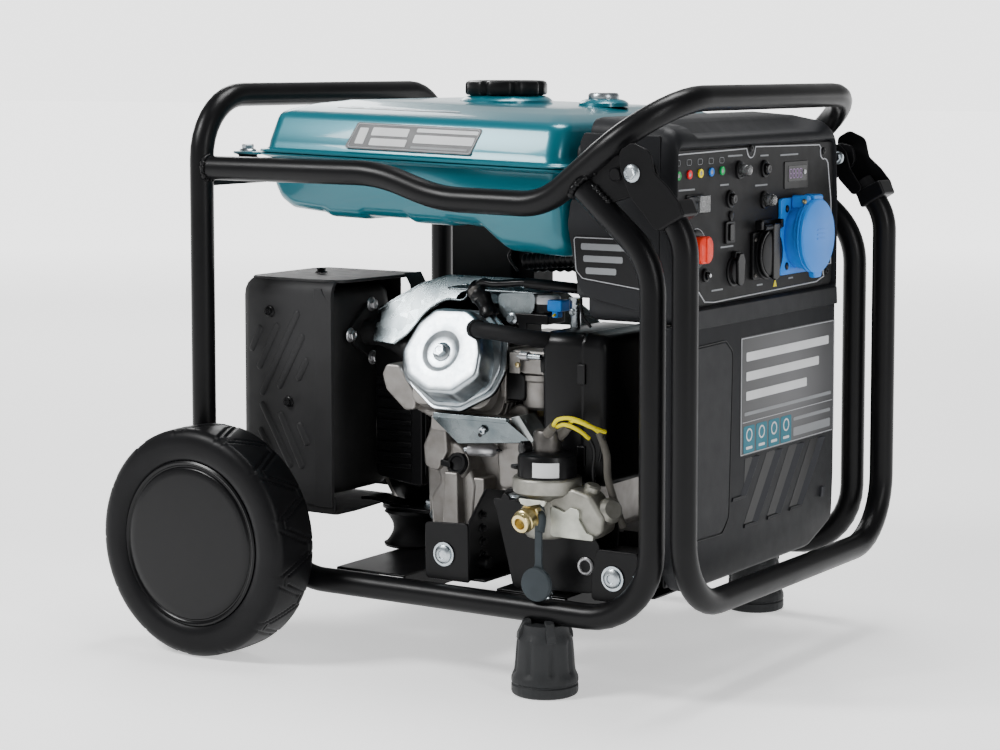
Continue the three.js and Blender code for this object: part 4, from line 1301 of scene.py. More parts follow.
def lower_cover():
    edge = [(-199, 138), (-172, 109.5), (132, 110), (196, 134), (199.5, 190), (199.5, 399.4),
            (-199.5, 399.4), (-199.5, 190)]
    radii = [16, 22, 30, 16, 30, 3, 3, 30]
    full = rounded(edge, radii, 7)

    def ring(x, share):
        return [(x, y * (1 - share), 255 + (z - 255) * (1 - share * 1.1)) for y, z in full]

    rings = [ring(297.9, 0.004), ring(309, 0), ring(313.5, 0.006), ring(316.6, 0.018), ring(FACE_X, 0.036)]
    shell = loft("cover_shell", rings, CHARCOAL, sharp=50)
    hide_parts("lower_cover")
    door = rounded([(-190, 374), (-86, 375.5), (-68, 361), (-75, 178), (-91, 162), (-186, 164)],
                   [4, 12, 14, 14, 12, 4])
    path = [Vector((FACE_X + 0.1, y, z)) for y, z in door]
    sweep("door_gap", path + [path[0]], 0.9, BLACK, sides=8)
    inner = rounded([(-188, 372), (-87, 373.5), (-70, 360), (-77, 179), (-92, 164), (-184, 166)],
                    [4, 11, 13, 13, 11, 4])
    prism("door_panel", inner, "YZ", FACE_X - 1, FACE_X + 0.8, CHARCOAL, edge=0.7)
    louvres()
    cover_label()


def louvres():
    """Slanted air slots: each slot is a black plate of painted shade, with a sloping blade at its right side
    whose lighter colour is painted light.
    """
    tops = [(-5, -37, 197), (52.5, -7.5, 163), (109, 50, 163.5), (165.5, 107, 165)]
    for k, (y_top, y_low, z_low) in enumerate(tops):
        lean = (y_top - y_low) / (238 - z_low)
        blade = [(y_top - 13, 238), (y_top, 238), (y_low + 4, z_low + 6), (y_low - 1, z_low),
                 (y_low - 12, z_low)]
        points = []
        for y, z in blade:
            left = y < y_top - (238 - z) * lean - 4
            points.append((FACE_X + (0.2 if left else 3.0), y, z))
        back = [(FACE_X - 3, y, z) for y, z in blade]
        bevel(loft(f"louvre_blade_{k}", [back, points], LOUVRE_PAINTED_LIGHT), 0.5, 2)
        # The slot is a black plate flush with the cover: painted shade for its opening.
        slot = [(y_top - 36, 238), (y_top - 13, 238), (y_low - 12, z_low), (y_low - 34, z_low - 2)]
        if k == 0:
            slot = [(y_top - 32, 238), (y_top - 13, 238), (y_low - 1, z_low), (y_low - 3, z_low + 2)]
        prism(f"louvre_slot_{k}", rounded(slot, 1.5), "YZ", FACE_X - 0.6, FACE_X + 0.25, BLACK, edge=0)
        foot = [(y_low - 32, z_low - 3), (y_low + 2, z_low - 3), (y_low - 1, z_low + 1),
                (y_low - 30, z_low + 1)]
        prism(f"louvre_foot_{k}", foot, "YZ", FACE_X - 0.5, FACE_X + 1.6, CHARCOAL, edge=0.5)
    small = rounded([(157, 166), (165, 166), (168, 178), (160, 178)], 1)
    prism("louvre_small", small, "YZ", FACE_X - 0.5, FACE_X + 2, LOUVRE_PAINTED_LIGHT, edge=0.5)


def cover_label():
    """A plain grey plate with a border, bars and coloured squares."""
    outline = rounded(rectangle(-50, 193, 241.5, 375), 1.5)
    # The plate carries a painted highlight in its middle.
    prism("cover_label", outline, "YZ", FACE_X - 0.6, FACE_X + 0.5, LABEL_PAINTED_HIGHLIGHT, edge=0.2)
    rim = [Vector((FACE_X + 0.5, y, z)) for y, z in rounded(rectangle(-48, 191, 243, 373.4), 1)]
    sweep("cover_label_rim", rim + [rim[0]], 0.5, SILVER_LINE, sides=6)
    prism("cover_label_rule", rectangle(-44, 188, 278.5, 279.2), "YZ", FACE_X + 0.4, FACE_X + 0.75,
          SILVER_LINE, edge=0)
    chip = smooth_plastic("chip_teal", (0.006, 0.13, 0.18), 0.4)
    for k in range(4):
        y = -42 + 31 * k
        tile = rounded(rectangle(y, y + 27, 243.6, 274.4), 3)
        prism(f"label_chip_{k}", tile, "YZ", FACE_X + 0.4, FACE_X + 0.8, chip, edge=0.1)
        ring = [(5.6, 0), (7.4, 0), (7.4, 0.3), (5.6, 0.3), (5.6, 0)]
        lathe(f"label_ring_{k}", ring, (FACE_X + 0.75, y + 13.5, 264), "X", WHITE, sides=28)
        mark = rounded(rectangle(y + 6, y + 21, 248, 251), 1)
        prism(f"label_mark_{k}", mark, "YZ", FACE_X + 0.75, FACE_X + 1.05, WHITE, edge=0)
    bars = [(-36, 176, 347, 357), (-36, 150, 325, 335), (-36, 118, 303, 313), (-40, 184, 286, 290),
            (84, 182, 266, 270), (84, 182, 248, 258)]
    for k, (y0, y1, z0, z1) in enumerate(bars):
        bar = rounded(rectangle(y0, y1, z0, z1), 1.6)
        prism(f"label_bar_{k}", bar, "YZ", FACE_X + 0.4, FACE_X + 0.75, WHITE if k < 3 else GREY, edge=0.1)


# ---------------------------------------------------------------- muffler
SHIELD = {"x": (-279.0, -144.0), "y": (-187.0, -31.0), "z": (150.0, 428.0)}


def capsule(name, a, b, width, height, y, material):
    """A long rounded bump pressed into the shield, between two points of its face."""
    start, end = Vector(a), Vector(b)
    along = (end - start).normalized()
    across = Vector((-along.y, along.x))
    loops = []
    for share, lift in ((1.0, 0.0), (0.86, 0.55), (0.6, 0.9), (0.25, 1.0)):
        r = width / 2 * share
        loop = []
        for k in range(24):
            angle = 2 * math.pi * k / 24
            base = end if math.cos(angle) >= 0 else start
            point = base + along * (math.cos(angle) * r) + across * (math.sin(angle) * r)
            loop.append((point.x, y - lift * height, point.y))
        loops.append(loop)
    return loft(name, loops, material, sharp=60)


def muffler_shield():
    """Pressed shield: a front face and rounded left side, with the top plate above it."""
    x0, x1 = SHIELD["x"]
    y0, y1 = SHIELD["y"]
    face = [(x1, y0 + 3), (x1 - 1, y0 + 0.4), (x0 + 14, y0), (x0 + 5, y0 + 3.4), (x0 + 1, y0 + 9),
            (x0, y0 + 18), (x0, y1 - 14), (x0 + 4, y1 - 4), (x0 + 14, y1), (x1 - 10, y1)]
    inner = [(x1 - 10, y1 - 2), (x0 + 15, y1 - 2), (x0 + 6, y1 - 5), (x0 + 2, y1 - 14), (x0 + 2, y0 + 18),
             (x0 + 3, y0 + 10), (x0 + 6.6, y0 + 5), (x0 + 14, y0 + 2), (x1 - 1, y0 + 2.6), (x1, y0 + 4.6)]
    outline = face + inner
    loops = []
    for z, inset in ((SHIELD["z"][0] + 12, 0), (404, 0), (412, 1), (418, 3.4), (422, 7), (424.6, 11)):
        loop = []
        for x, y in outline:
            pull = inset * (0.9 if y < y0 + 12 else 0.4)
            loop.append((x + (inset if x < x0 + 8 else 0) * 0.7, y + (pull if y < y0 + 20 else 0), z))
        loops.append(loop)
    shell = loft("shield_face", loops, HEAT, sharp=40)
    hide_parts("muffler_shield")
    corner = [(x1 - 0.5, 160), (x1 - 0.5, 392), (x1 - 3, 400), (x1 - 12, 410), (x1 - 15, 416),
              (x1 - 26, 416), (x1 - 26, 160)]
    prism("shield_edge", corner, "XZ", y0 + 0.2, y0 + 2.4, HEAT, edge=0.8)
    shield_top()
    shield_ribs()
    foot = [(x0 + 30, y0 + 4), (x1 + 4, y0 + 4), (x1 + 6, y0 + 40), (x1 - 4, y1 - 6), (x0 + 30, y1 - 6)]
    prism("shield_foot", rounded(foot, 4), "XY", 151, 153.4, HEAT, edge=0.6)
    skirt = [(x0 + 18, 163), (x1 - 12, 163), (x1 + 2, 176), (x1 + 2, 151), (x0 + 24, 151)]
    prism("shield_skirt", rounded(skirt, 3), "XZ", y0 + 3, y0 + 6, HEAT, edge=0.8)


def shield_top():
    x0, x1 = SHIELD["x"]
    y0, y1 = SHIELD["y"]
    plate = rounded([(x0 + 14, y0 + 8), (x1 - 14, y0 + 6), (x1 + 8, y0 + 18), (x1 + 22, y1 - 30),
                     (x1 + 20, y1), (x0 + 16, y1), (x0 + 6, y1 - 18), (x0 + 6, y0 + 20)],
                    [8, 6, 6, 8, 3, 8, 8, 12], 6)
    prism("shield_lid", plate, "XY", 422.6, 426.4, HEAT, edge=1.4)
    lip = [(x1 + 20, y1 - 2, 427.6), (x1 + 28, y1 - 2, 414), (x1 + 31, y1 - 2, 398), (x1 + 28, y1 - 2, 380)]
    back = [(x + 1.4, y, z - 1) for x, y, z in lip]
    curtain = [[(x, y - dy, z) for x, y, z in lip + back[::-1]] for dy in (0, 34)]
    loft("shield_curtain", curtain, HEAT, sharp=60)
    flange_bolt("shield_top_bolt", (-214, -112, 427.6), (0, 0, 1), 15, POWDER)


def shield_ribs():
    y = SHIELD["y"][0] + 0.5
    ribs = [((-249, 365), (-261, 341)), ((-224, 369), (-250, 320)), ((-194, 385), (-246, 289)),
            ((-187, 358), (-220, 299)), ((-181, 330), (-192, 310)), ((-249, 243), (-236, 222)),
            ((-246, 274), (-206, 206)), ((-219, 264), (-189, 206)), ((-191, 253), (-181, 234))]
    for k, (a, b) in enumerate(ribs):
        capsule(f"shield_rib_{k}", a, b, 9, 1.9, y, HEAT)
    for k, (x, z) in enumerate([(-234, 386), (-207, 280)]):
        flange_bolt(f"shield_bolt_{k}", (x, y - 0.5, z), (0, -1, 0), 14, POWDER)


def muffler_body():
    """The muffler can inside the shield, with its exhaust flange facing the engine."""
    x0, x1 = -272.0, -152.0
    y0, y1 = -180.0, -38.0
    loops = []
    steps = [(170, 12), (173, 5), (180, 1.5), (192, 0), (392, 0), (404, 1.5), (410, 5), (413, 12)]
    for z, inset in steps:
        outline = rounded(rectangle(x0 + inset, x1 - inset, y0 + inset, y1 - inset), 34 - inset * 0.5, 9)
        loops.append([(x, y, z) for x, y in outline])
    can = loft("muffler_can", loops, HEAT_DARK, sharp=50)
    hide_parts("muffler")
    plate = rounded([(-157, 360), (-88, 408), (-84, 316)], [16, 16, 16])
    prism("exhaust_plate", plate, "YZ", -153, -146, HEAT_DARK, edge=1.2)
    for k, (y, z) in enumerate([(-104.4, 392.7), (-146.9, 359.4), (-102.6, 328.7)]):
        flange_bolt(f"exhaust_nut_{k}", (-146, y, z), (1, 0, 0), 17, STEEL)
    path = bend([(-150, -112, 360), (-122, -112, 360), (-92, -118, 352), (-50, -126, 330)], [30, 40], 8)
    sweep("exhaust_pipe", path, 15, HEAT_DARK, sides=24)


def muffler_arm():
    """Black bar from the muffler foot to the engine mount."""
    path = [(-162, -90, 158), (-146, -90, 159), (-132, -88, 156), (-114, -86, 153), (-96, -84, 152)]
    loops = [[(x, y - 15, z - 2), (x, y + 15, z - 2), (x, y + 15, z + 2), (x, y - 15, z + 2)]
             for x, y, z in path]
    bevel(loft("muffler_strap", loops, POWDER), 0.8, 2)
    plate = rounded([(-142, -104), (-58, -108), (-48, -60), (-134, -56)], [18, 14, 14, 18])
    prism("mount_arm_plate", plate, "XY", 148, 152.4, POWDER, edge=1)
    centre = (-70, -86, 0)
    lathe("mount_stud", [(0, 152), (11, 152), (11, 154), (0, 154)], centre, "Z", ZINC, sides=32)
    lathe("mount_nut", [(0, 154), (8.6, 154), (8.6, 160.6), (7.4, 161.6), (0, 161.6)], centre, "Z", ZINC,
          sides=6)
    lathe("mount_thread", [(0, 160), (4.6, 160), (4.6, 167), (4, 168), (0, 168)], centre, "Z", ZINC,
          sides=20)


def rubber_mount(name, x, y, z0, z1, radius):
    waist = radius * 0.74
    profile = [(0, z0), (radius * 1.08, z0), (radius * 1.12, z0 + 3), (radius, z0 + 5)]
    for k in range(1, 8):
        share = k / 8
        profile.append((radius - (radius - waist) * math.sin(math.pi * share),
                        z0 + 5 + (z1 - z0 - 10) * share))
    profile += [(radius, z1 - 5), (radius * 1.1, z1 - 3), (radius * 1.04, z1), (0, z1)]
    lathe(name, profile, (x, y, 0), "Z", RUBBER, sides=40)


def rubber_mounts():
    for label, x in (("wheel", -40), ("panel", 120.5)):
        strip = block(f"mount_strip_{label}", (x - 4, x + 4), (-80, 130), (104.3, 121.7), RUBBER, edge=1.4)
        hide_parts(f"engine_mount_{label}")
    rubber_mount("mount_rubber_left", -102, -84, 104.4, 148, 30)
    for k, (x, y) in enumerate([(-72, 112), (152, 112), (160, -70)]):
        rubber_mount(f"mount_rubber_{k}", x, y, 104.4, 132, 24)


# ---------------------------------------------------------------- engine
CRANK = Vector((0.0, 36.0, 246.0))
HEAD_TILT = 25.0
HEAD_OUT = (0, -0.906, 0.4226)
COVER_POINTS = 88


def crankcase():
    outline = rounded([(-70, 124), (120, 124), (126, 140), (126, 330), (112, 346), (-60, 346), (-76, 330),
                       (-76, 140)], [6, 6, 8, 12, 12, 12, 12, 8])
    steps = [(-92, 10), (-88, 4), (-80, 0), (148, 0), (156, 4), (158, 8)]
    loops = [[(25 + (x - 25) * (1 - inset / 110), y, 234 + (z - 234) * (1 - inset / 120))
              for x, z in outline] for y, inset in steps]
    case = loft("crankcase_shell", loops, CAST, sharp=40)
    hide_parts("crankcase")
    crankcase_details()


def crankcase_details():
    cover = rounded([(-58, 140), (40, 136), (108, 140), (112, 200), (96, 262), (40, 300), (-44, 296),
                     (-62, 240)], [12, 10, 14, 20, 30, 30, 24, 20])
    prism("case_front", cover, "XZ", -112, -90, CAST, edge=4, segments=3)
    ribs = [((-1, 128), (-1, 210), 9, -152), ((22, 128), (24, 204), 12, -138),
            ((58, 140), (62, 268), 5, -128), ((88, 134), (98, 262), 6, -122)]
    for k, ((x0, z0), (x1, z1), half, y) in enumerate(ribs):
        body = rounded([(x0 - half - 3, z0), (x0 + half + 3, z0), (x1 + half, z1), (x1 - half, z1)], 2.5)
        prism(f"case_rib_{k}", body, "XZ", y, -92, CAST, edge=2.4)
    lobe = rounded([(-34, 128), (20, 126), (26, 196), (8, 238), (-20, 250), (-32, 220), (-24, 196),
                    (-38, 176)], [8, 8, 12, 14, 10, 10, 10, 10])
    prism("case_lobe", lobe, "XZ", -140, -100, CAST, edge=5, segments=3)
    ear = rounded([(-40, 214), (-22, 208), (-8, 232), (-10, 262), (-30, 262), (-42, 238)], 7)
    prism("case_ear", ear, "XZ", -148, -118, CAST, edge=3)
    lathe("starter_can", [(0, 0), (7, 0), (7.4, 3), (7.4, 14), (7.8, 15), (7.8, 31), (7, 33), (5.4, 35),
                          (3, 37), (0, 37)], (30, -158, 240), (1, 0, 0.06), STEEL, sides=36)
    lathe("starter_tail", [(0, 0), (3.4, 0), (3.4, 7), (0, 7)], (24, -158, 239.6), (1, 0, 0.06), ZINC,
          sides=20)
    lathe("starter_tip", [(0, 0), (1.4, 0), (1.2, 6), (0, 6)], (67, -158, 242.2), (1, 0, 0.06), BLACK,
          sides=14)
    neck = [(0, 0), (17, 0), (17, 20), (15, 24), (13, 24), (13, 21), (0, 21)]
    lathe("oil_neck", neck, (2, -118, 212), (0, -0.96, 0.28), CAST, sides=40)
    lathe("dip_plug", [(0, 20), (13, 20), (14, 22), (14, 25.4), (11.8, 27.6), (9, 27.6), (7.8, 26),
                       (0, 25.6)], (2, -118, 212), (0, -0.96, 0.28), BLACK, sides=40)
    tab = rounded([(-18, 216), (-4, 214), (-4, 221), (-18, 224)], 2)
    prism("dip_plug_tab", tab, "XZ", -148, -143, BLACK, edge=1)
    flange_bolt("case_drain", (96, -113, 154), (0, -1, 0), 17)
    for k, (x, z) in enumerate([(-50, 150), (-52, 280), (36, 290), (102, 214), (104, 146)]):
        flange_bolt(f"case_bolt_{k}", (x, -112, z), (0, -1, 0), 13)


def oil_cap():
    centre = (52, 0, 158)

    def knurl(angle, radius, distance):
        return radius + 0.5 * math.cos(18 * angle) if radius > 14 else radius

    profile = [(0, -94), (12, -94), (12, -98), (15.4, -98.6), (16, -100), (16, -104), (14.6, -105.8),
               (10, -106), (0, -105)]
    cap = lathe("oil_cap_body", profile, centre, "Y", BLACK, "oil_cap", 72, ripple=knurl)
    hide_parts("oil_filler_cap")
    grip = rounded(rectangle(50, 54, 147, 169), 1.8)
    prism("oil_cap_grip", grip, "XZ", -108.5, -104, BLACK, "oil_cap", 1)


def tilted(depth, x, z):
    """A point of the leaning cylinder, from its depth towards -Y, its x and its height across the bore."""
    lean = math.radians(HEAD_TILT)
    return (19 + x, CRANK.y - depth * math.cos(lean) + z * math.sin(lean),
            CRANK.z + depth * math.sin(lean) + z * math.cos(lean))


def cylinder():
    """Barrel and head with cooling fins, leaning up towards the front side."""

    def section(depth, half_x, half_z, corner):
        outline = rounded(rectangle(-half_x, half_x, -half_z, half_z), corner, 5)
        return [tilted(depth, x, z) for x, z in outline]

    core = [section(130, 50, 48, 16), section(206, 50, 50, 16), section(208, 54, 52, 16),
            section(221, 54, 52, 16), section(222, 52, 50, 16)]
    head = loft("cylinder_core", core, CAST, sharp=40)
    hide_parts("cylinder_head")
    for k in range(9):
        depth = 134 + 8.2 * k
        fin = [section(depth, 60, 55, 12), section(depth + 2.6, 60, 55, 12)]
        bevel(loft(f"cylinder_fin_{k}", fin, CAST), 0.8, 2)
    lug = rounded([(-76, 322), (-70, 334), (-52, 334), (-28, 300), (-30, 284), (-44, 282), (-70, 304)],
                  [8, 6, 6, 8, 6, 6, 8])
    prism("head_lug", lug, "XZ", -182, -150, CAST, edge=3)
    rail = rounded([(-8, 284), (104, 284), (112, 268), (100, 258), (-10, 262)], 4)
    prism("head_rail", rail, "XZ", -180, -140, CAST, edge=2)
    lathe("head_boss", [(0, 0), (8, 0), (9, 2), (9, 16), (0, 16)], (-20, -150, 286), (0, -1, 0), CAST,
          sides=28)
    leg = rounded([(60, 282), (98, 300), (112, 262), (104, 200), (64, 196), (60, 240)],
                  [6, 10, 10, 8, 8, 10])
    prism("block_side", leg, "XZ", -150, -96, CAST, edge=4)


def evenly(outline, count):
    """The same closed outline drawn with equally spaced points."""
    corners = [Vector(p) for p in outline]
    corners.append(corners[0])
    lengths = [(b - a).length for a, b in zip(corners, corners[1:])]
    step = sum(lengths) / count
    spaced = []
    walked = 0.0
    for start, end, length in zip(corners, corners[1:], lengths):
        while len(spaced) < count and len(spaced) * step <= walked + length:
            share = (len(spaced) * step - walked) / max(length, 1e-9)
            spaced.append(tuple(start.lerp(end, share)))
        walked += length
    return spaced


def cover_ring(points, depth, shrink=0.0, corner=18):
    """A rounded loop square to the cylinder's axis; points are (x, z) from that axis."""
    outline = evenly(rounded(points, corner, 7), COVER_POINTS)
    return [tilted(depth, x * (1 - shrink), z * (1 - shrink)) for x, z in outline]


def valve_cover():
    base = [(-72, -4), (-58, 42), (-38, 61), (34, 61), (60, 40), (70, -8), (62, -36), (24, -59), (-14, -59),
            (-60, -28)]
    pan = [(-54, -3), (-41, 32), (-22, 51), (22, 52), (38, 42), (54, 0), (56, -26), (28, -49), (-8, -50),
           (-40, -33)]
    loft("cover_gasket", [cover_ring(base, 223, 0.02), cover_ring(base, 227, 0.02)], BLACK)
    flange = [cover_ring(base, 227.2, 0.01), cover_ring(base, 228, 0), cover_ring(base, 229.6, 0),
              cover_ring(base, 230.6, 0.014)]
    lip = loft("cover_flange", flange, ZINC_SATIN, sharp=50)
    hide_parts("valve_cover")
    step = [cover_ring(base, 230, 0.055), cover_ring(base, 234, 0.06), cover_ring(base, 235.6, 0.085)]
    loft("cover_step", step, ZINC_SATIN, sharp=50)
    wall = [(235, -0.05), (247, -0.02), (255, 0.0), (258.6, 0.02), (260.4, 0.05), (261, 0.09), (261, 0.2)]
    dish = [(33, 261), (25, 261), (23.6, 260.8), (20, 259.2), (18, 258.6), (12, 258.4), (0.01, 258.4)]
    loops = [cover_ring(pan, depth, shrink, 14) for depth, shrink in wall]
    angles = [math.atan2(z, x) for x, z in evenly(rounded(pan, 14, 7), COVER_POINTS)]
    for radius, depth in dish:
        loops.append([tilted(depth, radius * math.cos(a), radius * math.sin(a)) for a in angles])
    loft("cover_pan", loops, ZINC_SATIN, caps=(True, False), sharp=50)
    flange_bolt("cover_bolt", Vector(tilted(258.4, 0, 0)), HEAD_OUT, 22)


def cylinder_plate(name, outline, depth, thick, material, edge=0.6):
    loops = [[tilted(d, x, z) for x, z in outline] for d in (depth, depth + thick)]
    return bevel(loft(name, loops, material), edge, 2)


def upper_shroud():
    """Pressed sheet over the cylinder, drawn out to the exhaust side."""
    outline = rounded([(-140, 24), (-144, 66), (-92, 100), (-56, 112), (74, 112), (82, 100), (70, 80),
                       (-26, 80), (-52, 80), (-74, 64), (-90, 38), (-108, 22)],
                      [4, 6, 30, 30, 6, 8, 10, 14, 20, 20, 24, 14], 6)
    cylinder_plate("shroud_front", outline, 200, 2, GALVANISED, 0.7)
    roof = []
    for depth, drop in ((70, 8), (96, 2), (190, 0), (200, 0), (202.4, 2)):
        section = [(-144, 66), (-92, 100), (-56, 112), (84, 112), (84, 110), (-56, 110), (-92, 98),
                   (-143, 64)]
        roof.append([tilted(depth, x, z - drop) for x, z in section])
    sheet = bevel(loft("shroud_roof", roof, GALVANISED, sharp=60), 0.6, 2)
    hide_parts("cylinder_shroud")
    lip = [Vector(tilted(203, x, z)) for x, z in [(-108, 22), (-90, 38), (-74, 64), (-52, 80), (-26, 82),
                                                  (-24, 100)]]
    sweep("shroud_lip", smooth_path(lip, 4), 1.6, GALVANISED, sides=8)
    tab = rounded([(57, 419), (107, 422), (105, 402), (94, 392), (73, 385), (58, 398)], [6, 6, 8, 10, 8, 10])
    prism("shroud_tab", tab, "XZ", -141, -139, GALVANISED, edge=0.7)
    shelf = rounded([(-10, -150), (112, -150), (128, -100), (120, -40), (-10, -40)], 8)
    prism("shroud_shelf", shelf, "XY", 421, 423, GALVANISED, edge=0.7)
    flange_bolt("shroud_bolt", (76, -141, 391), (0, -1, 0), 14)
    flange_bolt("shroud_bolt_top", tilted(203, -28, 97), HEAD_OUT, 10)


def lower_shroud():
    """Folded tray under the cylinder: a narrow top step, then a sloping front with two screws."""
    ridge = [(2, -184), (101, -184), (101, -192), (2, -192)]
    prism("tray_ridge", ridge, "XY", 279, 285, GALVANISED, edge=1.4)
    profile = [((0, 280), (103, 281), -192), ((30, 250), (128, 259), -182)]
    loops = []
    for (xa, za), (xb, zb), y in profile:
        loops.append([(xa, y, za), (xb, y, zb), (xb, y + 2, zb - 1), (xa, y + 2, za - 1)])
    tray = bevel(loft("tray_front", loops, GALVANISED), 0.5, 2)
    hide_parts("lower_shroud")
    wing = [(101, 285), (103, 280), (128, 259), (132, 262), (112, 288)]
    prism("tray_wing", wing, "XZ", -183, -150, GALVANISED_DARK, edge=0.6)
    screw("tray_screw", (68, -189.4, 269), (0, -0.95, -0.3), 10)
    # A thin black disc paints the shade of the hole in the tray.
    lathe("tray_hole", [(0, 0), (2.6, 0), (2.6, 0.4), (0, 0.4)], (63, -187.4, 263), (0, -0.95, -0.3), BLACK,
          sides=20)
    flange_bolt("tray_bolt", (112, -176, 278), (0, -1, 0), 13)


def spark_plug():
    boot = [(26, -146, 423), (34, -146, 419), (44, -146, 404), (50, -146, 392)]
    sweep("plug_boot", smooth_path(boot, 6), lambda s: 10.5 - 1.5 * math.sin(12 * s), BLACK, sides=24)
    lathe("plug_band", [(0, 0), (11, 0), (11.4, 2), (11.4, 14), (10, 16), (0, 16)], (30, -146, 424),
          (0.55, 0, -0.83), STEEL_DARK, sides=28)
    lead = [(28, -146, 424), (42, -148, 431), (60, -150, 430), (100, -150, 433), (140, -140, 430),
            (176, -110, 424)]
    sweep("plug_lead", smooth_path(lead, 8), 4.6, SHINY, sides=16)
    sweep("plug_lead_sleeve", smooth_path(lead[3:], 8), 6.2, BLACK, sides=16)


def breather_hose():
    path = [(56, -186, 382), (74, -200, 383), (96, -202, 382), (118, -198, 379), (134, -186, 376),
            (146, -170, 373)]
    hose = smooth_path(path, 8)
    sweep("breather_hose", hose, 9.2, RUBBER, sides=24)
    sweep("breather_collar", hose[:5], 11, RUBBER, sides=24)


def carburettor():
    """Casting between the cylinder and the air box, with its lever, screws and float bowl."""
    block("carb_body", (82, 130), (-156, -112), (330, 358), CAST, edge=4)
    block("carb_flange", (72, 80), (-160, -108), (296, 360), CAST, edge=2)
    lathe("carb_bowl", [(0, 290), (16, 290), (21, 294), (22, 300), (22, 322), (24, 324), (24, 330),
                        (0, 330)], (112, -134, 0), "Z", CAST, sides=40)
    lathe("carb_drain", [(0, 282), (5, 282), (6, 284), (6, 290), (0, 290)], (112, -134, 0), "Z", BRASS,
          sides=6)
    lathe("carb_shaft", [(0, 0), (3.2, 0), (3.2, 30), (0, 30)], (96, -160, 352), (1, 0, 0), ZINC, sides=20)
    lathe("carb_spring", [(0, 0), (5.4, 0), (5.4, 10), (0, 10)], (100, -160, 352), (1, 0, 0), STEEL,
          sides=20)
    block("carb_lever", (86, 100), (-163, -160), (332, 356), CAST, edge=1)
    screw("carb_idle_screw", (97, -162, 342), (0, -1, 0), 7, BRASS)
    runner = rounded([(62, 322), (76, 300), (104, 300), (104, 330), (84, 340)], 6)
    prism("intake_runner", runner, "XZ", -158, -110, BLACK, edge=3)


def fuel_valve():
    """Black valve block with its white cap and blue connector, above the carburettor."""
    block("valve_block", (78, 124), (-142, -104), (386, 398), BLACK, edge=2)
    block("valve_leg", (84, 96), (-142, -108), (366, 390), BLACK, edge=2)
    lathe("valve_drum", [(0, 398), (15, 398), (15.6, 400), (15.6, 408), (14, 409), (0, 409)], (112, -124, 0),
          "Z", BLACK, sides=32)
    lathe("valve_cap", [(0, 408), (14.6, 408), (15, 410), (15, 416), (13, 418.6), (0, 419.4)],
          (112, -124, 0), "Z", WHITE, sides=40)
    block("valve_plug", (120, 139), (-138, -118), (401, 414), BLUE, edge=2)
    block("valve_plug_foot", (126, 134), (-137, -126), (394, 402), BLUE, edge=1.4)
    lathe("valve_plug_pin", [(0, 0), (1.6, 0), (1.4, 4), (0, 4)], (131, -138, 398), (0, -1, -0.3), YELLOW,
          sides=12)
    lathe("zinc_post", [(0, 378), (6, 378), (6, 414), (7.6, 414), (7.6, 416.5), (0, 416.5)], (148, -122, 0),
          "Z", ZINC, sides=28)
    screw("post_screw", (154, -128, 408), (1, -0.4, 0), 7)
    flange_bolt("post_bolt", (148, -129, 401), (0, -1, 0), 8)


def corrugated(name, points, radius):
    """A ribbed conduit along a soft curve."""
    path = smooth_path(points, 26)
    count = len(path)
    return sweep(name, path, lambda s: radius + 0.9 * math.sin(s * count * 1.15), BLACK, sides=20)


def cables():
    corrugated("conduit", [(66, -96, 452), (96, -96, 455), (132, -100, 458), (170, -104, 458),
                           (200, -104, 452)], 9)
    corrugated("conduit_low", [(60, -70, 446), (110, -64, 448), (160, -60, 446), (204, -60, 440)], 8)
    wire = [(52, -92, 440), (40, -92, 458), (58, -92, 470), (96, -94, 462)]
    sweep("loop_wire", smooth_path(wire, 8), 1.5, BLACK, sides=10)
    thin = [[(160, -130, 420), (168, -140, 400), (182, -146, 388)], [(150, -110, 424), (176, -112, 412),
                                                                     (200, -110, 402)],
            [(188, -120, 432), (196, -130, 416), (206, -134, 404)]]
    for k, points in enumerate(thin):
        sweep(f"thin_wire_{k}", smooth_path(points, 6), 1.7, (RUBBER, BLACK, YELLOW)[k], sides=10)


def coil_housing():
    """Tall dark case behind the cylinder, under the tank."""
    block("tall_case", (-88, -2), (-20, 60), (396, 492), HEAT_DARK, edge=3)
    block("tall_case_step", (-2, 20), (-6, 40), (410, 476), HEAT_DARK, edge=2)


def alternator():
    """Drum cover of the alternator with a ribbed end facing the muffler, and the rotor inside."""
    profile = [(0, -142), (130, -142), (134, -138), (134, -76), (130, -76), (130, -135), (127, -138),
               (0, -138)]
    drum = lathe("drum_wall", profile, (0, CRANK.y, CRANK.z), "X", POWDER, sides=96)
    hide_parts("alternator_cover")
    for k in range(36):
        place = tilt(10 * k, "X", 0, CRANK.y, CRANK.z)
        block(f"drum_bar_{k}", (-143, -138), (-3.2, 3.2), (40, 128), CAST, edge=0.8, place=place)
    for k, (r0, r1) in enumerate([(30, 44), (84, 90), (122, 134)]):
        ring = [(r0, -138), (r0, -144), (r1, -144), (r1, -138)]
        lathe(f"drum_ring_{k}", ring, (0, CRANK.y, CRANK.z), "X", CAST, sides=72)
    wound = [(0, -134), (30, -134), (34, -130), (100, -128), (117, -124), (118, -118), (118, -86),
             (116, -84), (0, -84)]
    spinning = lathe("rotor_drum", wound, (0, CRANK.y, CRANK.z), "X", STEEL, "crankshaft", 72)
    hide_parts("rotor")
    for k in range(24):
        place = tilt(15 * k, "X", 0, CRANK.y, CRANK.z)
        block(f"rotor_blade_{k}", (-135, -128), (-2, 2), (52, 112), COPPER, "crankshaft", 0.8, place=place)
    rim = rounded([(-138, 188), (-70, 178), (-66, 200), (-66, 300), (-70, 348), (-140, 348)], 8)
    prism("blower_front", rim, "XZ", -106, -98, POWDER, edge=2)
    for k in range(9):
        block(f"blower_slot_{k}", (-134, -86), (-109, -104), (200 + 13 * k, 205 + 13 * k), POWDER, edge=0.8)
    block("blower_strap", (-84, -68), (-112, -98), (182, 330), POWDER, edge=2)


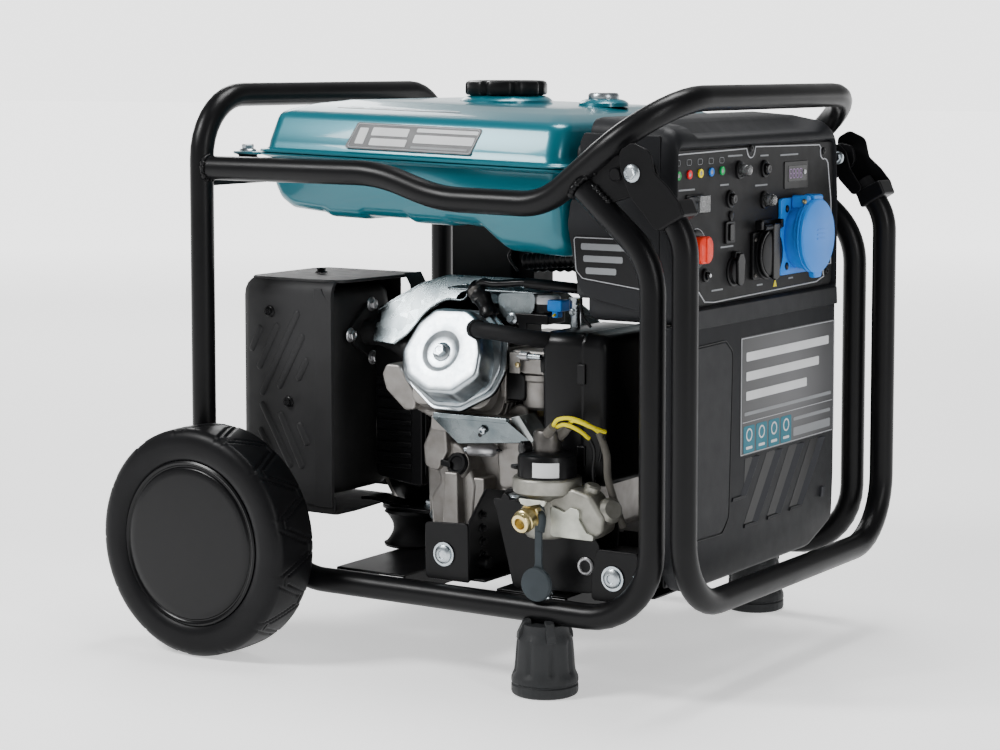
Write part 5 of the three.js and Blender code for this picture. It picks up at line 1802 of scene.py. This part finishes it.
def far_side_engine():
    """Recoil starter and fan cover on the side away from the viewer."""
    profile = [(96, 158), (100, 162), (100, 184), (92, 196), (60, 200), (56, 204), (0, 205)]
    lathe("fan_cover", profile, (20, 0, 240), "Y", POWDER, sides=72)
    for ring, (radius, count) in enumerate([(40, 12), (66, 18), (84, 24)]):
        for k in range(count):
            angle = 2 * math.pi * k / count
            y = 201.5 if ring == 0 else (200 if ring == 1 else 198)
            # Black rings stand for the vent holes: painted shade.
            lathe(f"fan_hole_{ring}_{k}", [(0, 0), (5, 0), (5, 1.4), (3.8, 1.8), (3.8, 0.9), (0, 0.9)],
                  (20 + radius * math.cos(angle), y, 240 + radius * math.sin(angle)), "Y", BLACK, sides=14)
    lathe("fan_hub", [(0, 203), (20, 203), (20, 208), (17, 210), (0, 210)], (20, 0, 240), "Y", BLACK,
          sides=40)
    for k in range(4):
        angle = math.radians(45 + 90 * k)
        flange_bolt(f"fan_bolt_{k}", (20 + 96 * math.cos(angle), 184, 240 + 96 * math.sin(angle)), (0, 1, 0),
                    12)


# ---------------------------------------------------------------- air box
def air_box():
    body = [(141, 6), (142, 2.5), (144.5, 0.6), (148, 0), (188, 0), (190, 1.6), (192, 1.6)]
    lid = [(192.6, 1.2), (193.4, -0.6), (196, -0.8), (198, 0.8), (212, 1.6), (218, 4), (221, 9)]
    base = loft("air_box_base", [air_ring(x, inset) for x, inset in body], BLACK, sharp=50)
    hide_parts("air_box")
    loft("air_box_lid", [air_ring(x, inset) for x, inset in lid], BLACK, sharp=50)
    for k, z in enumerate([250, 340]):
        block(f"air_clip_{k}", (188, 198), (-185.4, -181), (z - 11, z + 11), BLACK, edge=1)
    block("air_snorkel", (150, 186), (-64, -30), (300, 350), BLACK, edge=8)
    neck = [(0, 0), (24, 0), (24, 18), (0, 18)]
    lathe("air_neck", neck, (124, -134, 344), (1, 0, 0), BLACK, sides=36)


def air_ring(x, inset):
    outline = rounded([(-182 + inset, 214 + inset), (-45 - inset, 214 + inset), (-45 - inset, 384 - inset),
                       (-182 + inset, 384 - inset)], 15, 6)
    return [(x, y, z) for y, z in outline]


# ---------------------------------------------------------------- gas supply
REG = (173.0, -222.0)
INLET = Vector((168.0, -240.0, 193.0))
INLET_WAY = Vector((-0.06, -0.96, -0.27)).normalized()


def gas_regulator():
    ring = [(0, 206), (20, 206), (24, 210), (33, 213), (37, 216), (37.8, 219), (37.8, 230), (36.6, 231.6),
            (34, 232), (0, 232)]
    body = lathe("reg_ring", ring, (*REG, 0), "Z", CAST_OLIVE, sides=72)
    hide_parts("gas_regulator")
    disc = [(0, 231), (31, 231), (32.4, 232.4), (32.4, 252), (30.6, 256), (26, 258.5), (16, 259.5),
            (0, 259.5)]
    lathe("reg_drum", disc, (*REG, 0), "Z", BLACK, sides=64)
    angles = [math.radians(-88 + 52 * k / 12) for k in range(13)]
    tag = [[(REG[0] + 32.8 * math.cos(a), REG[1] + 32.8 * math.sin(a), z) for a in angles]
           for z in (234.5, 250.5)]
    tag_faces = loft("reg_tag", [tag[0] + [(x, y + 0.6, z) for x, y, z in tag[0][::-1]],
                                 tag[1] + [(x, y + 0.6, z) for x, y, z in tag[1][::-1]]], WHITE, sharp=60)
    bevel(tag_faces, 0.1, 1)
    lathe("reg_solenoid", [(0, 258), (15, 258), (15.4, 260), (15.4, 279), (13.6, 282), (0, 282.4)],
          (*REG, 0), "Z", STEEL_DARK, sides=40)
    lathe("reg_valve_knob", [(0, 0), (8, 0), (8, 9), (6.8, 10.4), (0, 10.6)], (REG[0] - 18, REG[1] - 8, 262),
          (-0.5, -0.85, 0), SHINY, sides=28)
    ears = rounded([(134, -236), (146, -244), (150, -222), (140, -214)], 3)
    prism("reg_clip", ears, "XY", 239, 243, BLACK, edge=1)
    regulator_casting()
    regulator_leads()


def regulator_casting():
    """Lower casting with its lobes, ribs and flat machined face."""
    lower = [(0, 166), (22, 166), (25, 170), (26, 184), (24, 200), (20, 208), (0, 208)]
    lathe("reg_neck", lower, (*REG, 0), "Z", CAST_OLIVE, sides=48)
    shape = rounded([(176, 168), (234, 168), (250, 178), (252, 196), (236, 218), (214, 224), (190, 216),
                     (172, 206)], [6, 8, 8, 10, 14, 10, 10, 8], 5)
    prism("reg_casting", shape, "XZ", -238, -206, CAST_OLIVE, edge=5, segments=3)
    face = rounded([(190, 204), (206, 198), (214, 204), (226, 202), (224, 192), (234, 178), (242, 176),
                    (242, 170), (192, 170), (182, 176), (188, 190)], [2, 3, 4, 5, 4, 3, 2, 2, 3, 3, 6])
    prism("reg_face", face, "XZ", -241.5, -237, CAST_PALE, edge=1)
    lathe("reg_side_port", [(0, 0), (13, 0), (14, 3), (14, 18), (10, 22), (0, 22)], (238, -214, 196),
          (0.8, -0.4, 0.3), CAST_OLIVE, sides=32)
    lathe("reg_top_port", [(0, 0), (9, 0), (9, 12), (7, 14), (0, 14)], (226, -220, 214), (0.3, 0, 0.95),
          CAST_OLIVE, sides=28)
    torn = rounded([(160, 212), (196, 212), (192, 205), (188, 208), (172, 204), (164, 206)], 1.5)
    prism("reg_seal", torn, "XZ", -262, -258, CAST_PALE, edge=1)
    lathe("reg_collar", [(0, 0), (14, 0), (15, 2), (15, 12), (13, 14), (0, 14)], INLET - INLET_WAY * 14,
          INLET_WAY, STEEL_DARK, sides=36)
    hexagon = [(0, 0), (14, 0), (15, 1.4), (15, 9), (14, 10.4), (0, 10.4)]
    lathe("inlet_hex", hexagon, INLET, INLET_WAY, BRASS, sides=6, sharp=25)
    barrel = [(0, 10), (11.4, 10), (11.4, 13), (12.6, 14), (12.6, 22), (11.6, 23), (11.6, 26), (10.2, 28.6),
              (6.6, 29), (6.2, 20), (0, 20)]
    lathe("inlet_barrel", barrel, INLET, INLET_WAY, BRASS, sides=44)


def regulator_leads():
    """Two boots on the solenoid whose yellow sleeves loop back to the air box."""
    boots = [[(172, -226, 272), (180, -232, 280), (190, -238, 289)], [(182, -216, 274), (194, -222, 282),
                                                                      (204, -228, 290)]]
    for k, points in enumerate(boots):
        sweep(f"lead_boot_{k}", smooth_path(points, 6), lambda s: 6.4 - 1.6 * s, RUBBER_GREY, sides=18)
        lathe(f"lead_boot_mouth_{k}", [(0, -1), (6.6, -1), (7, 1), (6, 3), (0, 3)], points[0],
              tuple(Vector(points[1]) - Vector(points[0])), BRASS, sides=20)
    sleeves = [[(188, -236, 288), (196, -238, 297), (210, -234, 299), (224, -222, 292), (232, -206, 280)],
               [(202, -226, 288), (210, -232, 296), (220, -234, 296), (232, -226, 290), (240, -212, 284)],
               [(190, -234, 288), (204, -236, 292), (216, -228, 286), (222, -216, 276)]]
    for k, points in enumerate(sleeves):
        sweep(f"yellow_sleeve_{k}", smooth_path(points, 8), 2.3, YELLOW, sides=12)
    wires = [[(222, -216, 277), (226, -212, 262), (222, -208, 240), (224, -208, 222)],
             [(230, -208, 282), (238, -206, 258), (240, -206, 232), (250, -204, 200), (256, -200, 180)],
             [(240, -212, 284), (236, -208, 276), (232, -206, 262), (228, -204, 250)]]
    for k, points in enumerate(wires):
        sweep(f"supply_wire_{k}", smooth_path(points, 8), (2.0, 4.2, 1.8)[k], (BLACK, RUBBER_GREY, BLACK)[k],
              sides=12)


def dust_cap():
    """Rubber dust cap of the gas inlet hanging on its strap."""
    x, y = 186, -262
    strap = [(-4.5, 0), (4.5, 0), (4.2, 40), (6, 48), (-6, 48), (-4.2, 40)]
    outline = rounded([(x + u, 184 - v) for u, v in strap], 1)
    prism("cap_strap", outline, "XZ", y, y + 3, RUBBER_BLUE, edge=0.8)
    disc = [(0, 0), (17.4, 0), (18.4, 1.2), (18.4, 5), (17, 6.4), (0, 6.8)]
    lathe("cap_disc", disc, (x - 1, y + 2, 121), (0, -1, 0), RUBBER_BLUE, sides=48)
    lathe("cap_loop", [(11, -4), (16.6, -4), (17.2, -1), (16.6, 2), (11, 2)], INLET, INLET_WAY, RUBBER_BLUE,
          sides=32)
    link_path = [(180, -246, 194), (188, -256, 190), (189, -261, 178)]
    sweep("cap_loop_link", smooth_path(link_path, 6), 4.2, RUBBER_BLUE, sides=14)


def supply_plate():
    outline = rounded([(96, 204), (104, 207), (244, 207), (244, 166), (236, 110), (130, 104.5), (122, 138)],
                      [3, 3, 4, 10, 8, 6, 20])
    plate = prism("supply_plate", outline, "XZ", -190, -187.4, POWDER, edge=0.8)
    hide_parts("regulator_plate")
    nose = rounded([(98, -190), (104, -206), (130, -224), (244, -224), (244, -190)], [2, 8, 10, 4, 2])
    prism("supply_shelf", nose, "XY", 199, 202, POWDER, edge=0.8)
    front = rounded([(106, 202), (122, 202), (134, 202), (244, 168), (237, 110), (132, 104.5), (124, 138)],
                    [2, 2, 4, 16, 10, 8, 24])
    prism("supply_apron", front, "XZ", -227, -224.5, POWDER, edge=0.8)
    side = rounded([(-224.5, 202), (-190, 206), (-190, 106), (-224.5, 112)], 3)
    prism("supply_web", side, "YZ", 132, 134.4, POWDER, edge=0.6)
    lathe("supply_bolt_washer", [(0, 0), (12, 0), (12.4, 0.8), (12.4, 1.8), (0, 1.8)], (127, -210, 202),
          (0, 0, 1), ZINC, sides=36)
    lathe("supply_bolt_dome", [(0, 1.8), (9.6, 1.8), (9, 3.8), (5, 5), (0, 5.2)], (127, -210, 202),
          (0, 0, 1), ZINC, sides=36)
    grommet = [(7, 0), (9.6, 0), (10, 1.4), (8.6, 2.6), (7, 2.4), (6.4, 0.4)]
    lathe("supply_grommet", grommet, (225, -227, 139), (0, -1, 0), STEEL, sides=32)
    # A thin black disc paints the shade of the hole inside the grommet.
    lathe("supply_hole", [(0, 0), (7, 0), (7, 0.6), (0, 0.6)], (225, -227, 139), (0, -1, 0), BLACK, sides=28)
    lathe("supply_floor_bolt", [(0, 0), (9, 0), (8, 3), (0, 4)], (176, -232, 104.3), (0, 0, 1), ZINC,
          sides=28)


def engine_brackets():
    left = prism("bracket_left", rounded([(20, 104.5), (78, 104.5), (77, 171), (20, 168)], [6, 2, 4, 4]),
                 "XZ", -234, -230, POWDER, edge=1)
    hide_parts("engine_bracket_left")
    web = rounded([(-232, 171), (-196, 205), (-120, 190), (-120, 106), (-232, 106)], [2, 6, 10, 4, 2])
    prism("bracket_left_web", web, "YZ", 75, 78, POWDER, edge=0.8)
    foot = rounded([(-228, 106), (-120, 106), (-120, 109), (-228, 109)], 1)
    prism("bracket_left_foot", foot, "YZ", 40, 96, POWDER, edge=0.8)
    for k in range(4):
        z = 132 + 15 * k
        # Black discs paint the shade of the slots under the nuts.
        lathe(f"bracket_slot_{k}", [(0, 0), (5.6, 0), (5.2, 1.4), (0, 1.8)], (78, -206, z), (1, 0, 0), BLACK,
              sides=20)
        lathe(f"bracket_nut_{k}", [(0, 0), (4, 0), (3.4, 3.4), (0, 3.8)], (79, -204, z), (1, 0, 0), POWDER,
              sides=6)
    lathe("bracket_stud", [(0, 0), (8, 0), (8, 10), (6, 12), (0, 12)], (78, -208, 124), (1, 0, 0), POWDER,
          sides=24)
    right = prism("bracket_right", rounded([(236, 104.5), (293, 104.5), (293, 160), (242, 160), (236, 130)],
                                           [5, 3, 4, 5, 8]), "XZ", -234, -230, POWDER, edge=1)
    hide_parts("engine_bracket_right")
    ledge = rounded([(242, -234), (293, -234), (293, -200), (256, -200)], 3)
    prism("bracket_right_ledge", ledge, "XY", 158, 160.6, POWDER, edge=0.8)
    for label, x, z in (("left", 46, 134), ("right", 263, 131)):
        lathe(f"bracket_washer_{label}", [(0, 0), (13, 0), (13.6, 0.8), (13.4, 2), (0, 2)], (x, -234, z),
              (0, -1, 0), ZINC, sides=40)
        dome = [(0, 2), (10.6, 2), (10.2, 4), (7.4, 5.6), (5, 5.8), (4.4, 4.4), (0, 4.4)]
        lathe(f"bracket_bolt_{label}", dome, (x, -234, z), (0, -1, 0), ZINC, sides=40)
    prism("base_tray_0", rounded(rectangle(210, 292, -196, -120), 4), "XY", 104.4, 107, POWDER, edge=0.8)
    for k in range(10):
        lathe(f"tray_nut_{k}", [(0, 0), (3.6, 0), (3.2, 3), (0, 3.2)], (290, -198, 120 + 24 * k),
              (-0.4, -1, 0), STEEL, sides=6)


def battery():
    """Starter battery behind the lower part of the panel, with its hold-down strap."""
    block("battery_case", (212, 290), (-170, -64), (110, 168), BLACK, edge=3)
    block("battery_strap", (240, 262), (-173, -62), (108, 171), POWDER, edge=1)


# ---------------------------------------------------------------- floor and finish
def floor():
    """White ground that glows softly, brighter towards the backdrop so that the two meet without a line."""
    material = shader("studio_floor", (0.92, 0.92, 0.92), 0.6, specular=0.1)
    vary_roughness(material, noise_node(material, 3), 0.55, 0.65)
    tree = material.node_tree
    principled = bsdf(material)
    principled.inputs["Emission Color"].default_value = (1, 1, 1, 1)
    place = tree.nodes.new("ShaderNodeTexCoord")
    towards_backdrop(tree, place.outputs["Object"], (0.6, 6.0), (0.7, BACKDROP - 0.1),
                     principled.inputs["Emission Strength"])
    size = 30000
    corners = [(x, y, 0) for x, y in rectangle(-size, size, -size, size)]
    ground = mesh_from("studio_floor", corners, [(0, 1, 2, 3)], material, None)


make_camera()
make_lights()
floor()
for build in (main_tube, top_tube, frame_welds, cross_channels, pivot_plates, folding_handle, wheels, axles,
              feet, tank_upper, tank_lower, filler_cap, fuel_gauge, tank_labels, tank_fixings, panel_fascia,
              side_plates, housing_back, control_plate, indicator_lamps, buttons, display, rocker_switch,
              engine_switch, small_covers, schuko_socket, cee_socket, lower_cover, muffler_shield,
              muffler_body, muffler_arm, rubber_mounts, crankcase, oil_cap, cylinder, valve_cover,
              upper_shroud, lower_shroud, spark_plug, breather_hose, carburettor, fuel_valve, cables,
              coil_housing, alternator, far_side_engine, air_box, gas_regulator, dust_cap, supply_plate,
              engine_brackets, battery):
    build()
